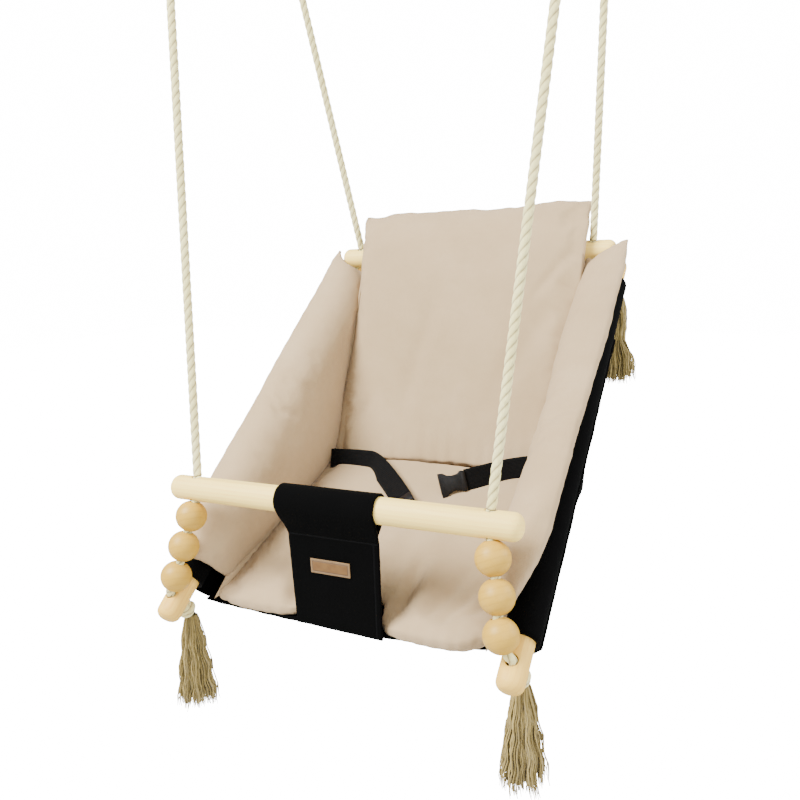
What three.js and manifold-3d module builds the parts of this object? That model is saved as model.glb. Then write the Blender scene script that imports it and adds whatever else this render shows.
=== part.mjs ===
// A hanging baby seat: four twisted ropes, four pine bars, a black canvas sling and a padded insert.
// Millimetres, +Z up, +Y towards the backrest. The origin lies midway between the four ceiling plates,
// on their top faces, so the whole seat hangs below it.
import * as THREE from 'three';
import { mergeVertices } from 'three/addons/utils/BufferGeometryUtils.js';
import Module from 'manifold-3d';

const wasm = await Module();
wasm.setup();

// Clearances between neighbours, and the overrun of a cut
const seam = 0.3;
const slip = 0.6;
const swingSlip = 3; // under the rear rope eyes, which ride up and down a little as the seat swings
const cutOverrun = 5;

// Pine bars
const barDiameter = 28;
const barEndRound = 9;
const frontBarHoleSpread = 174.5; // half the distance between the two rope holes
const frontBarOverhang = 33; // from a hole's centre to the bar's end
const backBarHoleSpread = 171;
const backBarOverhang = 30;
const sideBarSpread = 204; // half the distance between the front holes of the two side bars
const sideBarConverge = 8; // how much nearer the middle their rear holes lie, on each side
const sideBarReach = 545; // between the front and the rear rope hole
const sideBarOverhang = 26;
const sideBarTiltDegrees = 38.6;

// Twisted rope, the beads threaded on it, its knots and its frayed ends
const ropeDiameter = 10;
const ropeHoleDiameter = 13;
const ropeBendAbove = 1.5; // how far above the side bars the rope turns into its hole
const beadDiameter = 35;
const beadBore = 14;
const beadLeanIn = 10; // the last bead sits this much inside the side bar's middle
const knotDiameter = 22;
const knotHeight = 18;
const tasselLength = 120;
const tasselNeckDiameter = 15;
const tasselFrontDiameter = 48;
const tasselRearDiameter = 46;
const tasselSetback = 6; // behind the middle of its knot

// Where the bars lie across the side bars, along them and above them
const frontBarAlong = 95;
const frontBarAbove = 89.4;
const backBarAlong = 558;
const backBarAbove = 31.5;

// The ceiling hooks, and where the seat hangs under them
const frontBarDrop = 745;
const frontBarSetback = 202;
const frontHookSpread = 242;
const rearHookSpread = 216;
const hookRowSpacing = 192;
const plateDiameter = 46;
const plateThickness = 4;
const shankLength = 24;
const hookWireDiameter = 6;
const hookBendDiameter = 28;
const hookTipRise = 12;

// The hanging eye that each rope ends in
const eyeWidth = 28;
const eyeLength = 58;

// Canvas sling
const canvasThickness = 3;
const sleeveDiameter = 38;
const backSleeveDiameter = 36;
const sleeveFront = 26;
const sleeveRear = 528;
const slingHalfWidth = 184.4;
const slingRetreatShare = 0.022; // how far the front hem draws back towards its corners
const slingRightRetreatShare = 0.037; // and how much further towards the right one
const slingNarrowing = 22; // how much narrower the sling is behind the top of the back pad, on each side
const backSleeveHalfLength = 156;
const slingFlare = 8; // how much wider the sling is at its front hem, on each side
const wingCanvasShare = 0.8; // how far up the sling the wings reach

// The panel between the legs, looped over the front bar, and its leather tag
const panelTopWidth = 118;
const panelFootWidth = 106;
const panelThickness = 3;
const panelLoopDiameter = 35;
const panelDrop = 143;
const panelSeamDrop = 34; // where the loop round the bar closes
const panelLean = 3;
const tagWidth = 48;
const tagHeight = 16;
const tagThickness = 1.2;
const tagDrop = 69;
const tagOffset = 4; // left of the panel's middle

// Padded insert
const padHalfWidth = 163;
const seatPadThickness = 24;
const backPadThickness = 22;
const wingPadThickness = 16;
const padRimThickness = 8;
const backPadSkew = 10; // how much higher the back pad's top right corner reaches
const backPadLeanOut = 5; // and how much further out it lies
const notchHalfWidth = 45;
const notchDepth = 44;
const notchCorner = 5;
const lobeLeftRound = 11; // how far the seat pad's outer front corners draw back
const lobeRightRound = 35;
const lobeInnerRound = 6; // and its corners beside the notch
const wingPadEdge = 218; // how far out the wing pads lie over the side bars
const wingPadEdgeAbove = 34;
const wingPadShoulder = 48;
const wingPadSeam = 176;
const wingPadDrawIn = 159;
const wingPadTopDrawIn = 182;
const wingPadFrontIn = 24; // how far the front tips turn in
const wingPadFrontDrop = 12;
const wingPadHorn = 34; // how far the top corners reach up beside the back bar's ends
const wingPadFront = 42;
const wingPadRear = 533;

// Waist straps and their side-release buckle
const strapWidth = 25;
const strapThickness = 1.8;
const buckleWidth = 31;
const buckleLength = 34;
const buckleThickness = 9;
const plugBaseLength = 16;
const prongLength = 24;
const prongWidth = 5;
const prongThickness = 4;
const prongSpread = 11;

// Lines seen from the side, in pairs: along the side bars from their front holes, and above them
const seatPadLine = [[15, -15], [38, -31], [70, -43], [160, -72], [290, -114]];
const backPadLine = [[298, -113], [380, -57], [460, -1], [528, 47], [562, 66], [600, 70]];
const slingLine = [
  [12, -23], [36, -46.5], [70, -60.5], [160, -88.5], [268, -122], [290, -130], [309, -125.5], [390.5, -68.5],
  [471, -12], [538.7, 36.6]];
const wingFootLine = [[54, -27], [70, -32], [160, -62], [292, -102], [390, -42], [470, 2], [531, 22]];

// Routes of the waist straps, from their seams to their buckle halves: across, along and above
const leftStrapRoute = [
  [-153, 277, -88.9], [-105, 278, -87.1], [-82, 272, -84.1], [-43, 238, -73], [-12, 208, -63]];
const rightStrapRoute = [[154, 297, -87], [104, 281, -83.3], [57, 252, -73]];

// Which way the straps' width points along those routes
const upBackWide = [0, 0.82, 0.572];
const downFrontWide = [0, -0.82, -0.572];
const leftStrapWides = [upBackWide, upBackWide, [0.5, 0.78, 0.3], [0.66, 0.72, 0.15]];
const rightStrapWides = [downFrontWide, downFrontWide];

// Facets
const barSides = 16;
const ropeSides = 8;
const wireSides = 6;
const knotSides = 10;
const beadSides = 14;
const beadSteps = 5;
const roundSteps = 2;

const finish = (color, roughness, metalness = 0) =>
  new THREE.MeshStandardMaterial({ color, roughness, metalness });
const pine = finish(0xe6cf9f, 0.55);
const beechBead = finish(0xd9bd84, 0.5);
const cottonRope = finish(0xd9cfa6, 0.95);
const blackCanvas = finish(0x111112, 0.9);
const beigeCotton = finish(0xcfc0b0, 0.9);
const tanLeather = finish(0xb47d4b, 0.6);
const blackWebbing = finish(0x0d0d0e, 0.85);
const blackPlastic = finish(0x121213, 0.45);
const zincSteel = finish(0xb8bbbd, 0.35, 1);

const seatSwing = new THREE.Group();

// Vectors across, along and above the side bars, or x, y and z
const at = (x, y, z) => new THREE.Vector3(x, y, z);
const flat = (x, y) => new THREE.Vector2(x, y);

// A closed solid for cutting and joining
function solidOf(geometry) {
  const bare = geometry.clone();
  bare.deleteAttribute('normal');
  bare.deleteAttribute('uv');
  const merged = mergeVertices(bare, seam / 1000);
  const corner = merged.index.array;
  const triVerts = [];
  for (let i = 0; i < corner.length; i += 3) {
    const [a, b, c] = [corner[i], corner[i + 1], corner[i + 2]];
    if (a !== b && b !== c && c !== a) triVerts.push(a, b, c);
  }
  return new wasm.Manifold(new wasm.Mesh({
    numProp: 3,
    vertProperties: new Float32Array(merged.attributes.position.array),
    triVerts: new Uint32Array(triVerts),
  }));
}

function geometryOf(solid) {
  const mesh = solid.getMesh();
  const geometry = new THREE.BufferGeometry();
  geometry.setAttribute('position', new THREE.BufferAttribute(new Float32Array(mesh.vertProperties), 3));
  geometry.setIndex(new THREE.BufferAttribute(new Uint32Array(mesh.triVerts), 1));
  return geometry;
}

const cut = (body, ...tools) =>
  geometryOf(tools.reduce((left, tool) => left.subtract(solidOf(tool)), solidOf(body)));
const join = (first, ...others) =>
  geometryOf(others.reduce((sum, other) => sum.add(solidOf(other)), solidOf(first)));

function addPiece(group, name, geometry, material) {
  const piece = new THREE.Mesh(geometry, material);
  piece.name = name;
  group.add(piece);
  return piece;
}

// A body turned about the y axis, from a profile of [radius, height] pairs
const turned = (profile, sides) => new THREE.LatheGeometry(profile.map(([r, h]) => flat(r, h)), sides);

function roundedRodProfile(length, radius, round) {
  const profile = [[0, -length / 2]];
  for (let i = 0; i <= roundSteps; i += 1) {
    const turn = (Math.PI / 2) * (i / roundSteps);
    profile.push([radius - round + round * Math.sin(turn), -length / 2 + round - round * Math.cos(turn)]);
  }
  return [...profile, ...profile.slice().reverse().map(([r, h]) => [r, -h])];
}

// A round tube or rod along a path
function rodAlong(path, diameter, sides, steps) {
  const ring = [];
  for (let i = 0; i < sides; i += 1) {
    const turn = (2 * Math.PI * i) / sides;
    ring.push(flat((diameter / 2) * Math.cos(turn), (diameter / 2) * Math.sin(turn)));
  }
  return new THREE.ExtrudeGeometry(new THREE.Shape(ring), { steps, extrudePath: path, bevelEnabled: false });
}

// A straight drill from one point through another, run out at both ends
function drill(from, to, diameter) {
  const way = to.clone().sub(from).normalize().multiplyScalar(cutOverrun);
  return rodAlong(new THREE.LineCurve3(from.clone().sub(way), to.clone().add(way)), diameter, barSides, 1);
}

// A soft sheet or pad over a grid: middle(u, v) gives its middle surface, half(u, v) half its thickness
function softBody(columns, rows, middle, half) {
  const positions = [];
  const faces = [];
  const nudge = 1 / 500;
  const index = (side, i, j) => (side * (rows + 1) + j) * (columns + 1) + i;
  for (const side of [0, 1]) {
    for (let j = 0; j <= rows; j += 1) {
      for (let i = 0; i <= columns; i += 1) {
        const [u, v] = [i / columns, j / rows];
        const [u0, u1] = [Math.max(u - nudge, 0), Math.min(u + nudge, 1)];
        const [v0, v1] = [Math.max(v - nudge, 0), Math.min(v + nudge, 1)];
        const up = middle(u1, v).sub(middle(u0, v)).cross(middle(u, v1).sub(middle(u, v0))).normalize();
        const point = middle(u, v).addScaledVector(up, side ? half(u, v) : -half(u, v));
        positions.push(point.x, point.y, point.z);
      }
    }
  }
  const quad = (a, b, c, d) => faces.push(a, b, c, a, c, d);
  for (let j = 0; j < rows; j += 1) {
    for (let i = 0; i < columns; i += 1) {
      quad(index(1, i, j), index(1, i + 1, j), index(1, i + 1, j + 1), index(1, i, j + 1));
      quad(index(0, i, j), index(0, i, j + 1), index(0, i + 1, j + 1), index(0, i + 1, j));
    }
  }
  for (let i = 0; i < columns; i += 1) {
    quad(index(0, i, 0), index(0, i + 1, 0), index(1, i + 1, 0), index(1, i, 0));
    quad(index(0, i + 1, rows), index(0, i, rows), index(1, i, rows), index(1, i + 1, rows));
  }
  for (let j = 0; j < rows; j += 1) {
    quad(index(0, 0, j + 1), index(0, 0, j), index(1, 0, j), index(1, 0, j + 1));
    quad(index(0, columns, j), index(0, columns, j + 1), index(1, columns, j + 1), index(1, columns, j));
  }
  const geometry = new THREE.BufferGeometry();
  geometry.setAttribute('position', new THREE.Float32BufferAttribute(positions, 3));
  geometry.setIndex(faces);
  return geometry;
}

// How full a pad is between its seams: 0 on the rim, 1 in the middle
const crown = (u, v) => Math.sqrt((1 - (2 * u - 1) ** 6) * (1 - (2 * v - 1) ** 8));
const padHalf = (full) => (u, v) =>
  (padRimThickness + (full - padRimThickness) * crown(Math.min(Math.max(u, 0), 1), v)) / 2;

// The seat's own frame: x across, y along the side bars from their front holes, z above them
const barRadius = barDiameter / 2;
const sideBarX = (side, along) => side * (sideBarSpread - (sideBarConverge * along) / sideBarReach);
const sideBarLean = Math.atan(sideBarConverge / sideBarReach);
const tilt = THREE.MathUtils.degToRad(sideBarTiltDegrees);
const seatFrame = new THREE.Group();
seatFrame.rotation.x = tilt;
seatFrame.position.set(
  0,
  -frontBarSetback - frontBarAlong * Math.cos(tilt) + frontBarAbove * Math.sin(tilt),
  -frontBarDrop - frontBarAlong * Math.sin(tilt) - frontBarAbove * Math.cos(tilt),
);
seatSwing.add(seatFrame);
seatFrame.updateMatrixWorld(true);

// The same point in the object's frame
const hung = (x, along, above) => at(x, along, above).applyMatrix4(seatFrame.matrixWorld);

// The bead chain: the first bead bears on the front bar, the last one on the side bar
const beadPitch = beadDiameter + seam;
const beadSeat = barRadius + beadDiameter / 2 + seam;
const chainTop = (side) => at(side * frontBarHoleSpread, frontBarAlong, frontBarAbove);
function chainWay(side) {
  const run = beadSeat + 2 * beadPitch;
  const across = side * (sideBarSpread - beadLeanIn - frontBarHoleSpread);
  const fall = Math.sqrt(beadSeat ** 2 - beadLeanIn ** 2) - frontBarAbove;
  return at(across, -Math.sqrt(run ** 2 - across ** 2 - fall ** 2), fall).divideScalar(run);
}
const beadCentre = (side, n) => chainTop(side).addScaledVector(chainWay(side), beadSeat + n * beadPitch);
function boreWay(side, n) {
  const towardsHole = holeMouth(side, 0).sub(beadCentre(side, n)).normalize();
  return n < 2 ? chainWay(side) : towardsHole.add(chainWay(side)).normalize();
}
// The rear hole of a side bar lines up with a slanting hole through the back bar
const holeMouth = (side, along) => at(sideBarX(side, along), along, barRadius + ropeBendAbove);
const backBarHole = (side) => at(side * backBarHoleSpread, backBarAlong, backBarAbove);
function rearWay(side) {
  return holeMouth(side, sideBarReach).sub(backBarHole(side)).normalize();
}

// The ceiling hooks, seen from the seat, and the way each free rope runs up from its bar
const throatDrop = plateThickness + shankLength + hookBendDiameter / 2;
const hookAt = (side, row) => (row === 'front'
  ? at(side * frontHookSpread, -hookRowSpacing / 2, -throatDrop)
  : at(side * rearHookSpread, hookRowSpacing / 2, -throatDrop));
const barHole = (side, row) => (row === 'front' ? chainTop(side) : backBarHole(side));
function ropeWay(side, row) {
  return seatFrame.worldToLocal(hookAt(side, row)).sub(barHole(side, row)).normalize();
}
function barMouth(side, row, clear) {
  const way = ropeWay(side, row);
  return barHole(side, row).addScaledVector(way, (barRadius + clear) / Math.hypot(way.y, way.z));
}

// Bars
function addBars() {
  const crossBar = (spread, overhang, along, above) => {
    const bar = turned(roundedRodProfile(2 * (spread + overhang), barRadius, barEndRound), barSides);
    return bar.rotateZ(Math.PI / 2).translate(0, along, above);
  };
  const reach = barDiameter;
  const bentHole = (hole, up, down) => [up, down].map(
    (way) => drill(hole, hole.clone().addScaledVector(way, reach), ropeHoleDiameter));
  const frontHoles = [-1, 1].flatMap(
    (side) => bentHole(chainTop(side), ropeWay(side, 'front'), chainWay(side)));
  const rearHoles = [-1, 1].flatMap(
    (side) => bentHole(backBarHole(side), ropeWay(side, 'rear'), rearWay(side)));
  addPiece(seatFrame, 'front_bar', cut(
    crossBar(frontBarHoleSpread, frontBarOverhang, frontBarAlong, frontBarAbove), ...frontHoles), pine);
  addPiece(seatFrame, 'back_bar', cut(
    crossBar(backBarHoleSpread, backBarOverhang, backBarAlong, backBarAbove), ...rearHoles), pine);
  for (const [name, side] of [['left', -1], ['right', 1]]) {
    const length = sideBarReach + 2 * sideBarOverhang;
    const bar = turned(roundedRodProfile(length, barRadius, barEndRound), barSides);
    bar.rotateZ(side * sideBarLean).translate(sideBarX(side, sideBarReach / 2), sideBarReach / 2, 0);
    const through = (along) => {
      const x = sideBarX(side, along);
      return drill(at(x, along, -barDiameter), at(x, along, barDiameter), ropeHoleDiameter);
    };
    addPiece(seatFrame, `side_bar_${name}`, cut(bar, through(0), through(sideBarReach)), pine);
  }
}

// Wooden beads, each threaded on the rope
function addBeads() {
  const radius = beadDiameter / 2;
  const rimAngle = Math.asin(beadBore / 2 / radius);
  const profile = [];
  for (let i = 0; i <= beadSteps; i += 1) {
    const turn = rimAngle + (Math.PI - 2 * rimAngle) * (i / beadSteps);
    profile.push([radius * Math.sin(turn), -radius * Math.cos(turn)]);
  }
  profile.push(profile[0]);
  for (const [name, side] of [['left', -1], ['right', 1]]) {
    for (let n = 0; n < 3; n += 1) {
      const bead = addPiece(seatFrame, `bead_${name}_${n + 1}`, turned(profile, beadSides), beechBead);
      bead.position.copy(beadCentre(side, n));
      bead.quaternion.setFromUnitVectors(at(0, 1, 0), boreWay(side, n));
    }
  }
}

// Rope below the bars: through the beads or the back bar, then through the side bar to the knot
function addRopeTails() {
  for (const [name, side] of [['left', -1], ['right', 1]]) {
    const knotTop = (along) => at(sideBarX(side, along), along, -barRadius - seam);
    const inHole = (along) => at(sideBarX(side, along), along, 0);
    const inLastBead = (share) =>
      beadCentre(side, 2).addScaledVector(boreWay(side, 2), (share * beadDiameter) / 2);
    const tail = (points, steps) =>
      rodAlong(new THREE.CatmullRomCurve3(points, false, 'centripetal'), ropeDiameter, ropeSides, steps);
    const front = [barMouth(side, 'front', 0), chainTop(side), beadCentre(side, 0), beadCentre(side, 1),
      inLastBead(-0.5), inLastBead(0.8), holeMouth(side, 0), inHole(0), knotTop(0)];
    addPiece(seatFrame, `front_rope_tail_${name}`, tail(front, 20), cottonRope);
    const rear = [barMouth(side, 'rear', 0), backBarHole(side), holeMouth(side, sideBarReach),
      inHole(sideBarReach), knotTop(sideBarReach)];
    addPiece(seatFrame, `rear_rope_tail_${name}`, tail(rear, 10), cottonRope);
  }
}

// Knots under the side bars: two wraps of rope round a core
function knotGeometry(height, diameter) {
  const wrapDiameter = height / 2;
  const profile = [[0, -height / 2]];
  const lobes = 6;
  for (let i = 0; i <= lobes; i += 1) {
    const share = i / lobes;
    const swell = Math.sin(Math.PI * Math.min(Math.max(share, 1 / 12), 11 / 12));
    const wrap = Math.abs(Math.cos(Math.PI * 2 * share)) * wrapDiameter * 0.12;
    profile.push([(diameter / 2 - wrap) * Math.sqrt(swell), height * (share - 1 / 2)]);
  }
  profile.push([0, height / 2]);
  return turned(profile, knotSides);
}

function addKnots() {
  for (const [name, side] of [['left', -1], ['right', 1]]) {
    for (const [row, along] of [['front', 0], ['rear', sideBarReach]]) {
      const knot = knotGeometry(knotHeight, knotDiameter).rotateX(Math.PI / 2);
      const depth = barRadius + 2 * seam + knotHeight / 2;
      knot.translate(sideBarX(side, along), along, -depth);
      addPiece(seatFrame, `knot_${row}_${name}`, knot, cottonRope);
    }
  }
}

// Frayed rope ends, hanging straight down under the knots
const knotMiddle = (side, along) =>
  hung(sideBarX(side, along), along, -barRadius - 2 * seam - knotHeight / 2);
function addTassels() {
  const tuftShares = [0, 0.04, 0.1, 0.3, 0.55, 0.8, 0.95, 1];
  const widthShares = [0.25, 0.8, 1, 1.3, 1.9, 2.45, 2.6, 1.9];
  for (const [row, along, foot] of [
    ['front', 0, tasselFrontDiameter], ['rear', sideBarReach, tasselRearDiameter]]) {
    for (const [name, side] of [['left', -1], ['right', 1]]) {
      const spread = (foot / tasselNeckDiameter) / Math.max(...widthShares);
      const profile = [[0, 0]];
      tuftShares.forEach((share, i) => {
        const fan = 1 + (spread - 1) * share;
        profile.push([(tasselNeckDiameter / 2) * widthShares[i] * fan, -tasselLength * share]);
      });
      profile.push([0, -tasselLength]);
      const tuft = turned(profile.reverse(), knotSides).rotateX(Math.PI / 2);
      const top = knotMiddle(side, along);
      const drop = knotDiameter / 2 - 6 * seam;
      tuft.translate(top.x, top.y + tasselSetback, top.z - drop);
      addPiece(seatSwing, `tassel_${row}_${name}`, tuft, cottonRope);
    }
  }
}

// Ceiling hooks: a round plate, a shank and an open bend in the plane across the seat
function addHooks() {
  const bend = hookBendDiameter / 2;
  for (const [row, spread, y] of [
    ['front', frontHookSpread, -hookRowSpacing / 2], ['rear', rearHookSpread, hookRowSpacing / 2]]) {
    for (const [name, side] of [['left', -1], ['right', 1]]) {
      const points = [at(side * bend, 0, -plateThickness / 2), at(side * bend, 0, -throatDrop + bend)];
      const turnSteps = 8;
      for (let i = 1; i <= turnSteps; i += 1) {
        const turn = Math.PI * (i / turnSteps);
        points.push(at(side * bend * Math.cos(turn), 0, -throatDrop + bend - bend * Math.sin(turn)));
      }
      points.push(at(-side * bend, 0, -throatDrop + bend + hookTipRise));
      const bentWire = new THREE.CatmullRomCurve3(points, false, 'chordal');
      const wire = rodAlong(bentWire, hookWireDiameter, wireSides, 16);
      const plateRadius = plateDiameter / 2;
      const plate = new THREE.CylinderGeometry(plateRadius, plateRadius, plateThickness, barSides);
      plate.rotateX(Math.PI / 2).translate(side * bend, 0, -plateThickness / 2);
      const hook = join(plate, wire).translate(side * spread, y, 0);
      addPiece(seatSwing, `ceiling_hook_${row}_${name}`, hook, zincSteel);
    }
  }
}

// The free ropes, and the knotted eye that each one hangs by
const eyeRise = (row) => hookWireDiameter / 2 + (row === 'front' ? slip : swingSlip) + ropeDiameter / 2;

function addRopesAndEyes() {
  for (const row of ['front', 'rear']) {
    for (const [name, side] of [['left', -1], ['right', 1]]) {
      const hook = hookAt(side, row);
      const foot = seatFrame.localToWorld(barMouth(side, row, slip));
      const up = hook.clone().sub(foot).normalize();
      const across = at(0, up.z, -up.y).normalize();
      const top = hook.clone().addScaledVector(up, eyeRise(row));
      const eye = [];
      const eyeSteps = 16;
      for (let i = 0; i <= eyeSteps; i += 1) {
        const turn = 2 * Math.PI * (i / eyeSteps);
        const narrow = Math.sqrt(0.5 + 0.5 * Math.cos(turn));
        eye.push(top.clone().addScaledVector(up, -(eyeLength / 2) * (1 - Math.cos(turn)))
          .addScaledVector(across, (eyeWidth / 2) * Math.sin(turn) * (0.55 + 0.45 * narrow)));
      }
      const halfEye = eye.slice(eyeSteps / 2).concat(eye.slice(1, eyeSteps / 2 + 1));
      const eyePath = new THREE.CatmullRomCurve3(halfEye, false, 'chordal');
      const ring = rodAlong(eyePath, ropeDiameter, ropeSides, 16);
      const knotMiddle = top.clone().addScaledVector(up, -eyeLength - knotHeight * 0.4);
      const knot = knotGeometry(knotHeight * 1.2, knotDiameter);
      knot.applyQuaternion(new THREE.Quaternion().setFromUnitVectors(at(0, 1, 0), up));
      knot.translate(knotMiddle.x, knotMiddle.y, knotMiddle.z);
      addPiece(seatSwing, `loop_${row}_${name}`, join(knot, ring), cottonRope);
      const ropeTop = knotMiddle.clone().addScaledVector(up, -knotHeight * 0.6 - seam);
      const path = new THREE.LineCurve3(foot, ropeTop);
      const steps = Math.round(path.getLength() / (3 * ropeDiameter));
      addPiece(seatSwing, `rope_${row}_${name}`, rodAlong(path, ropeDiameter, ropeSides, steps), cottonRope);
    }
  }
}

// Middle lines of the pads and the sling, seen from the side: along the side bars and above them
const smoothLine = (points) => new THREE.CatmullRomCurve3(points, false, 'centripetal');
const sideLine = (pairs) => smoothLine(pairs.map(([along, above]) => at(0, along, above)));
const seatMiddle = sideLine(seatPadLine);
const backMiddle = sideLine(backPadLine);
const slingMiddle = sideLine(slingLine);
const wingFoot = sideLine(wingFootLine);
function slingHalf(share) {
  const flare = slingFlare * Math.max(1 - share * 2.6, 0) ** 1.5;
  const narrowing = slingNarrowing * THREE.MathUtils.smoothstep(share, 0.83, 0.9)
    + sideBarConverge * share ** 1.5;
  return slingHalfWidth + flare - narrowing;
}

// Canvas: the sling under the seat and the back, its wings, and the sleeves that the bars run through
function addSling() {
  const sling = softBody(12, 22, (u, v) => {
    const retreat = slingRetreatShare * (2 * u - 1) ** 2 + slingRightRetreatShare * Math.max(2 * u - 1, 0) ** 3;
    const share = retreat + (1 - retreat) * v;
    const point = slingMiddle.getPointAt(share);
    return at((2 * u - 1) * slingHalf(share), point.y, point.z);
  }, () => canvasThickness / 2);
  addPiece(seatFrame, 'sling_canvas', sling, blackCanvas);
  const tube = (halfLength, diameter) => {
    const [outer, inner] = [diameter / 2, barRadius + slip];
    return turned([[inner, -halfLength], [outer, -halfLength], [outer, halfLength], [inner, halfLength],
      [inner, -halfLength]], barSides);
  };
  addPiece(seatFrame, 'back_sleeve', tube(backSleeveHalfLength, backSleeveDiameter).rotateZ(Math.PI / 2)
    .translate(0, backBarAlong, backBarAbove), blackCanvas);
  for (const [name, side] of [['left', -1], ['right', 1]]) {
    const sleeve = tube((sleeveRear - sleeveFront) / 2, sleeveDiameter);
    const sleeveMiddle = (sleeveRear + sleeveFront) / 2;
    sleeve.rotateZ(side * sideBarLean).translate(sideBarX(side, sleeveMiddle), sleeveMiddle, 0);
    addPiece(seatFrame, `sleeve_${name}`, sleeve, blackCanvas);
    const wrap = sleeveDiameter / 2 + seam + canvasThickness / 2;
    const wrapTurn = THREE.MathUtils.degToRad(35);
    const wing = softBody(4, 14, (u, v) => {
      const foot = slingMiddle.getPointAt(v * wingCanvasShare);
      const beside = slingHalf(v * wingCanvasShare) + canvasThickness / 2 + 2 * seam;
      const low = at(side * beside, Math.max(foot.y, sleeveFront), foot.z);
      const [out, down] = [wrap * Math.cos(wrapTurn), wrap * Math.sin(wrapTurn)];
      const onSleeve = at(sideBarX(side, low.y) + side * out, low.y, -down);
      const under = onSleeve.clone().add(at(-side * down, 0, -out));
      return new THREE.QuadraticBezierCurve3(low, under, onSleeve).getPoint(side > 0 ? u : 1 - u);
    }, () => canvasThickness / 2);
    addPiece(seatFrame, `wing_canvas_${name}`, wing, blackCanvas);
  }
}

// The panel between the legs, sewn round the front bar
function addPanel() {
  const outer = panelLoopDiameter / 2;
  const outline = new THREE.Shape();
  const half = panelThickness / 2;
  const leave = Math.acos(outer / panelSeamDrop);
  outline.absarc(0, 0, outer, -Math.PI / 2 + leave, (3 * Math.PI) / 2 - leave, false);
  outline.lineTo(-half, -panelSeamDrop);
  outline.lineTo(panelLean - half, -panelDrop);
  outline.lineTo(panelLean + half, -panelDrop);
  outline.lineTo(half, -panelSeamDrop);
  const eye = new THREE.Path();
  eye.absarc(0, 0, barRadius + slip, 0, 2 * Math.PI, true);
  outline.holes.push(eye);
  const asWideAsTop = { depth: panelTopWidth, bevelEnabled: false, curveSegments: 20 };
  const body = new THREE.ExtrudeGeometry(outline, asWideAsTop);
  body.translate(0, 0, -panelTopWidth / 2);
  const corner = body.attributes.position;
  for (let i = 0; i < corner.count; i += 1) {
    const down = Math.min(Math.max(-corner.getY(i) / panelDrop, 0), 1);
    const width = panelTopWidth + (panelFootWidth - panelTopWidth) * down;
    corner.setZ(i, corner.getZ(i) * (width / panelTopWidth));
  }
  body.applyMatrix4(new THREE.Matrix4().makeBasis(at(0, 1, 0), at(0, 0, 1), at(1, 0, 0)));
  body.translate(0, -frontBarSetback, -frontBarDrop);
  addPiece(seatSwing, 'crotch_panel', body, blackCanvas);
  const tag = new THREE.BoxGeometry(tagWidth, tagThickness, tagHeight);
  tag.rotateX(Math.atan2(panelLean, panelDrop - panelSeamDrop));
  const tagLean = (panelLean * (tagDrop - panelSeamDrop)) / (panelDrop - panelSeamDrop);
  const tagAhead = -frontBarSetback + tagLean - half - tagThickness / 2 - seam;
  tag.translate(-tagOffset, tagAhead, -frontBarDrop - tagDrop);
  addPiece(seatSwing, 'leather_tag', tag, tanLeather);
}

// The padded insert: seat, back and two wings
function addPads() {
  const notchShare = notchDepth / seatMiddle.getLength();
  const seat = softBody(20, 10, (u, v) => {
    const x = (2 * u - 1) * padHalfWidth;
    const inside = 1 / (1 + Math.exp((Math.abs(x) - notchHalfWidth) / notchCorner));
    const lobe = (2 * Math.abs(x) - padHalfWidth - notchHalfWidth) / (padHalfWidth - notchHalfWidth);
    const outerRound = (x < 0 ? lobeLeftRound : lobeRightRound) * Math.max(lobe, 0) ** 3;
    const innerRound = lobeInnerRound * Math.min(lobe, 0) ** 4;
    const rounding = (outerRound + innerRound) / seatMiddle.getLength();
    const start = Math.min(notchShare * inside + rounding, notchShare);
    const point = seatMiddle.getPointAt(start + (1 - start) * v);
    return at(x, point.y, point.z);
  }, padHalf(seatPadThickness));
  addPiece(seatFrame, 'seat_pad', seat, beigeCotton);
  const back = softBody(12, 14, (u, v) => {
    const point = backMiddle.getPointAt(v);
    const skew = u * v ** 14;
    return at((2 * u - 1) * padHalfWidth + backPadLeanOut * skew, point.y + backPadSkew * skew, point.z);
  }, padHalf(backPadThickness));
  addPiece(seatFrame, 'back_pad', back, beigeCotton);
  for (const [name, side] of [['left', -1], ['right', 1]]) {
    const wing = softBody(6, 14, (u, v) => {
      const foot = wingFoot.getPointAt(v);
      const along = wingPadFront + (wingPadRear - wingPadFront) * v;
      const nearer = sideBarConverge * v * (1 - v ** 4);
      const low = at(side * (wingPadSeam - nearer), foot.y, foot.z);
      const drawIn = THREE.MathUtils.lerp(wingPadDrawIn, wingPadTopDrawIn, v ** 4) - nearer * 1.15;
      const tip = Math.max(1 - 5 * v, 0) ** 2;
      const bend = at(side * drawIn, (foot.y * 2 + along) / 3, (foot.z * 2 + wingPadEdgeAbove) / 3);
      const rise = at(side * drawIn, (foot.y + along * 2) / 3, wingPadShoulder - 2 * wingPadFrontDrop * tip);
      const edge = at(
        side * (wingPadEdge - wingPadFrontIn * tip), along, wingPadEdgeAbove - wingPadFrontDrop * tip);
      const up = side > 0 ? u : 1 - u;
      const horn = wingPadHorn * (v * up) ** 8;
      return new THREE.CubicBezierCurve3(low, bend, rise, edge).getPoint(up).add(at(0, horn, 0));
    }, padHalf(wingPadThickness));
    addPiece(seatFrame, `wing_pad_${name}`, wing, beigeCotton);
  }
}

// Waist straps, sewn in between the back pad and the wings
const strapPath = (route) => smoothLine(route.map((point) => at(...point)));
const leftStrapPath = strapPath(leftStrapRoute);
const rightStrapPath = strapPath(rightStrapRoute);

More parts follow.
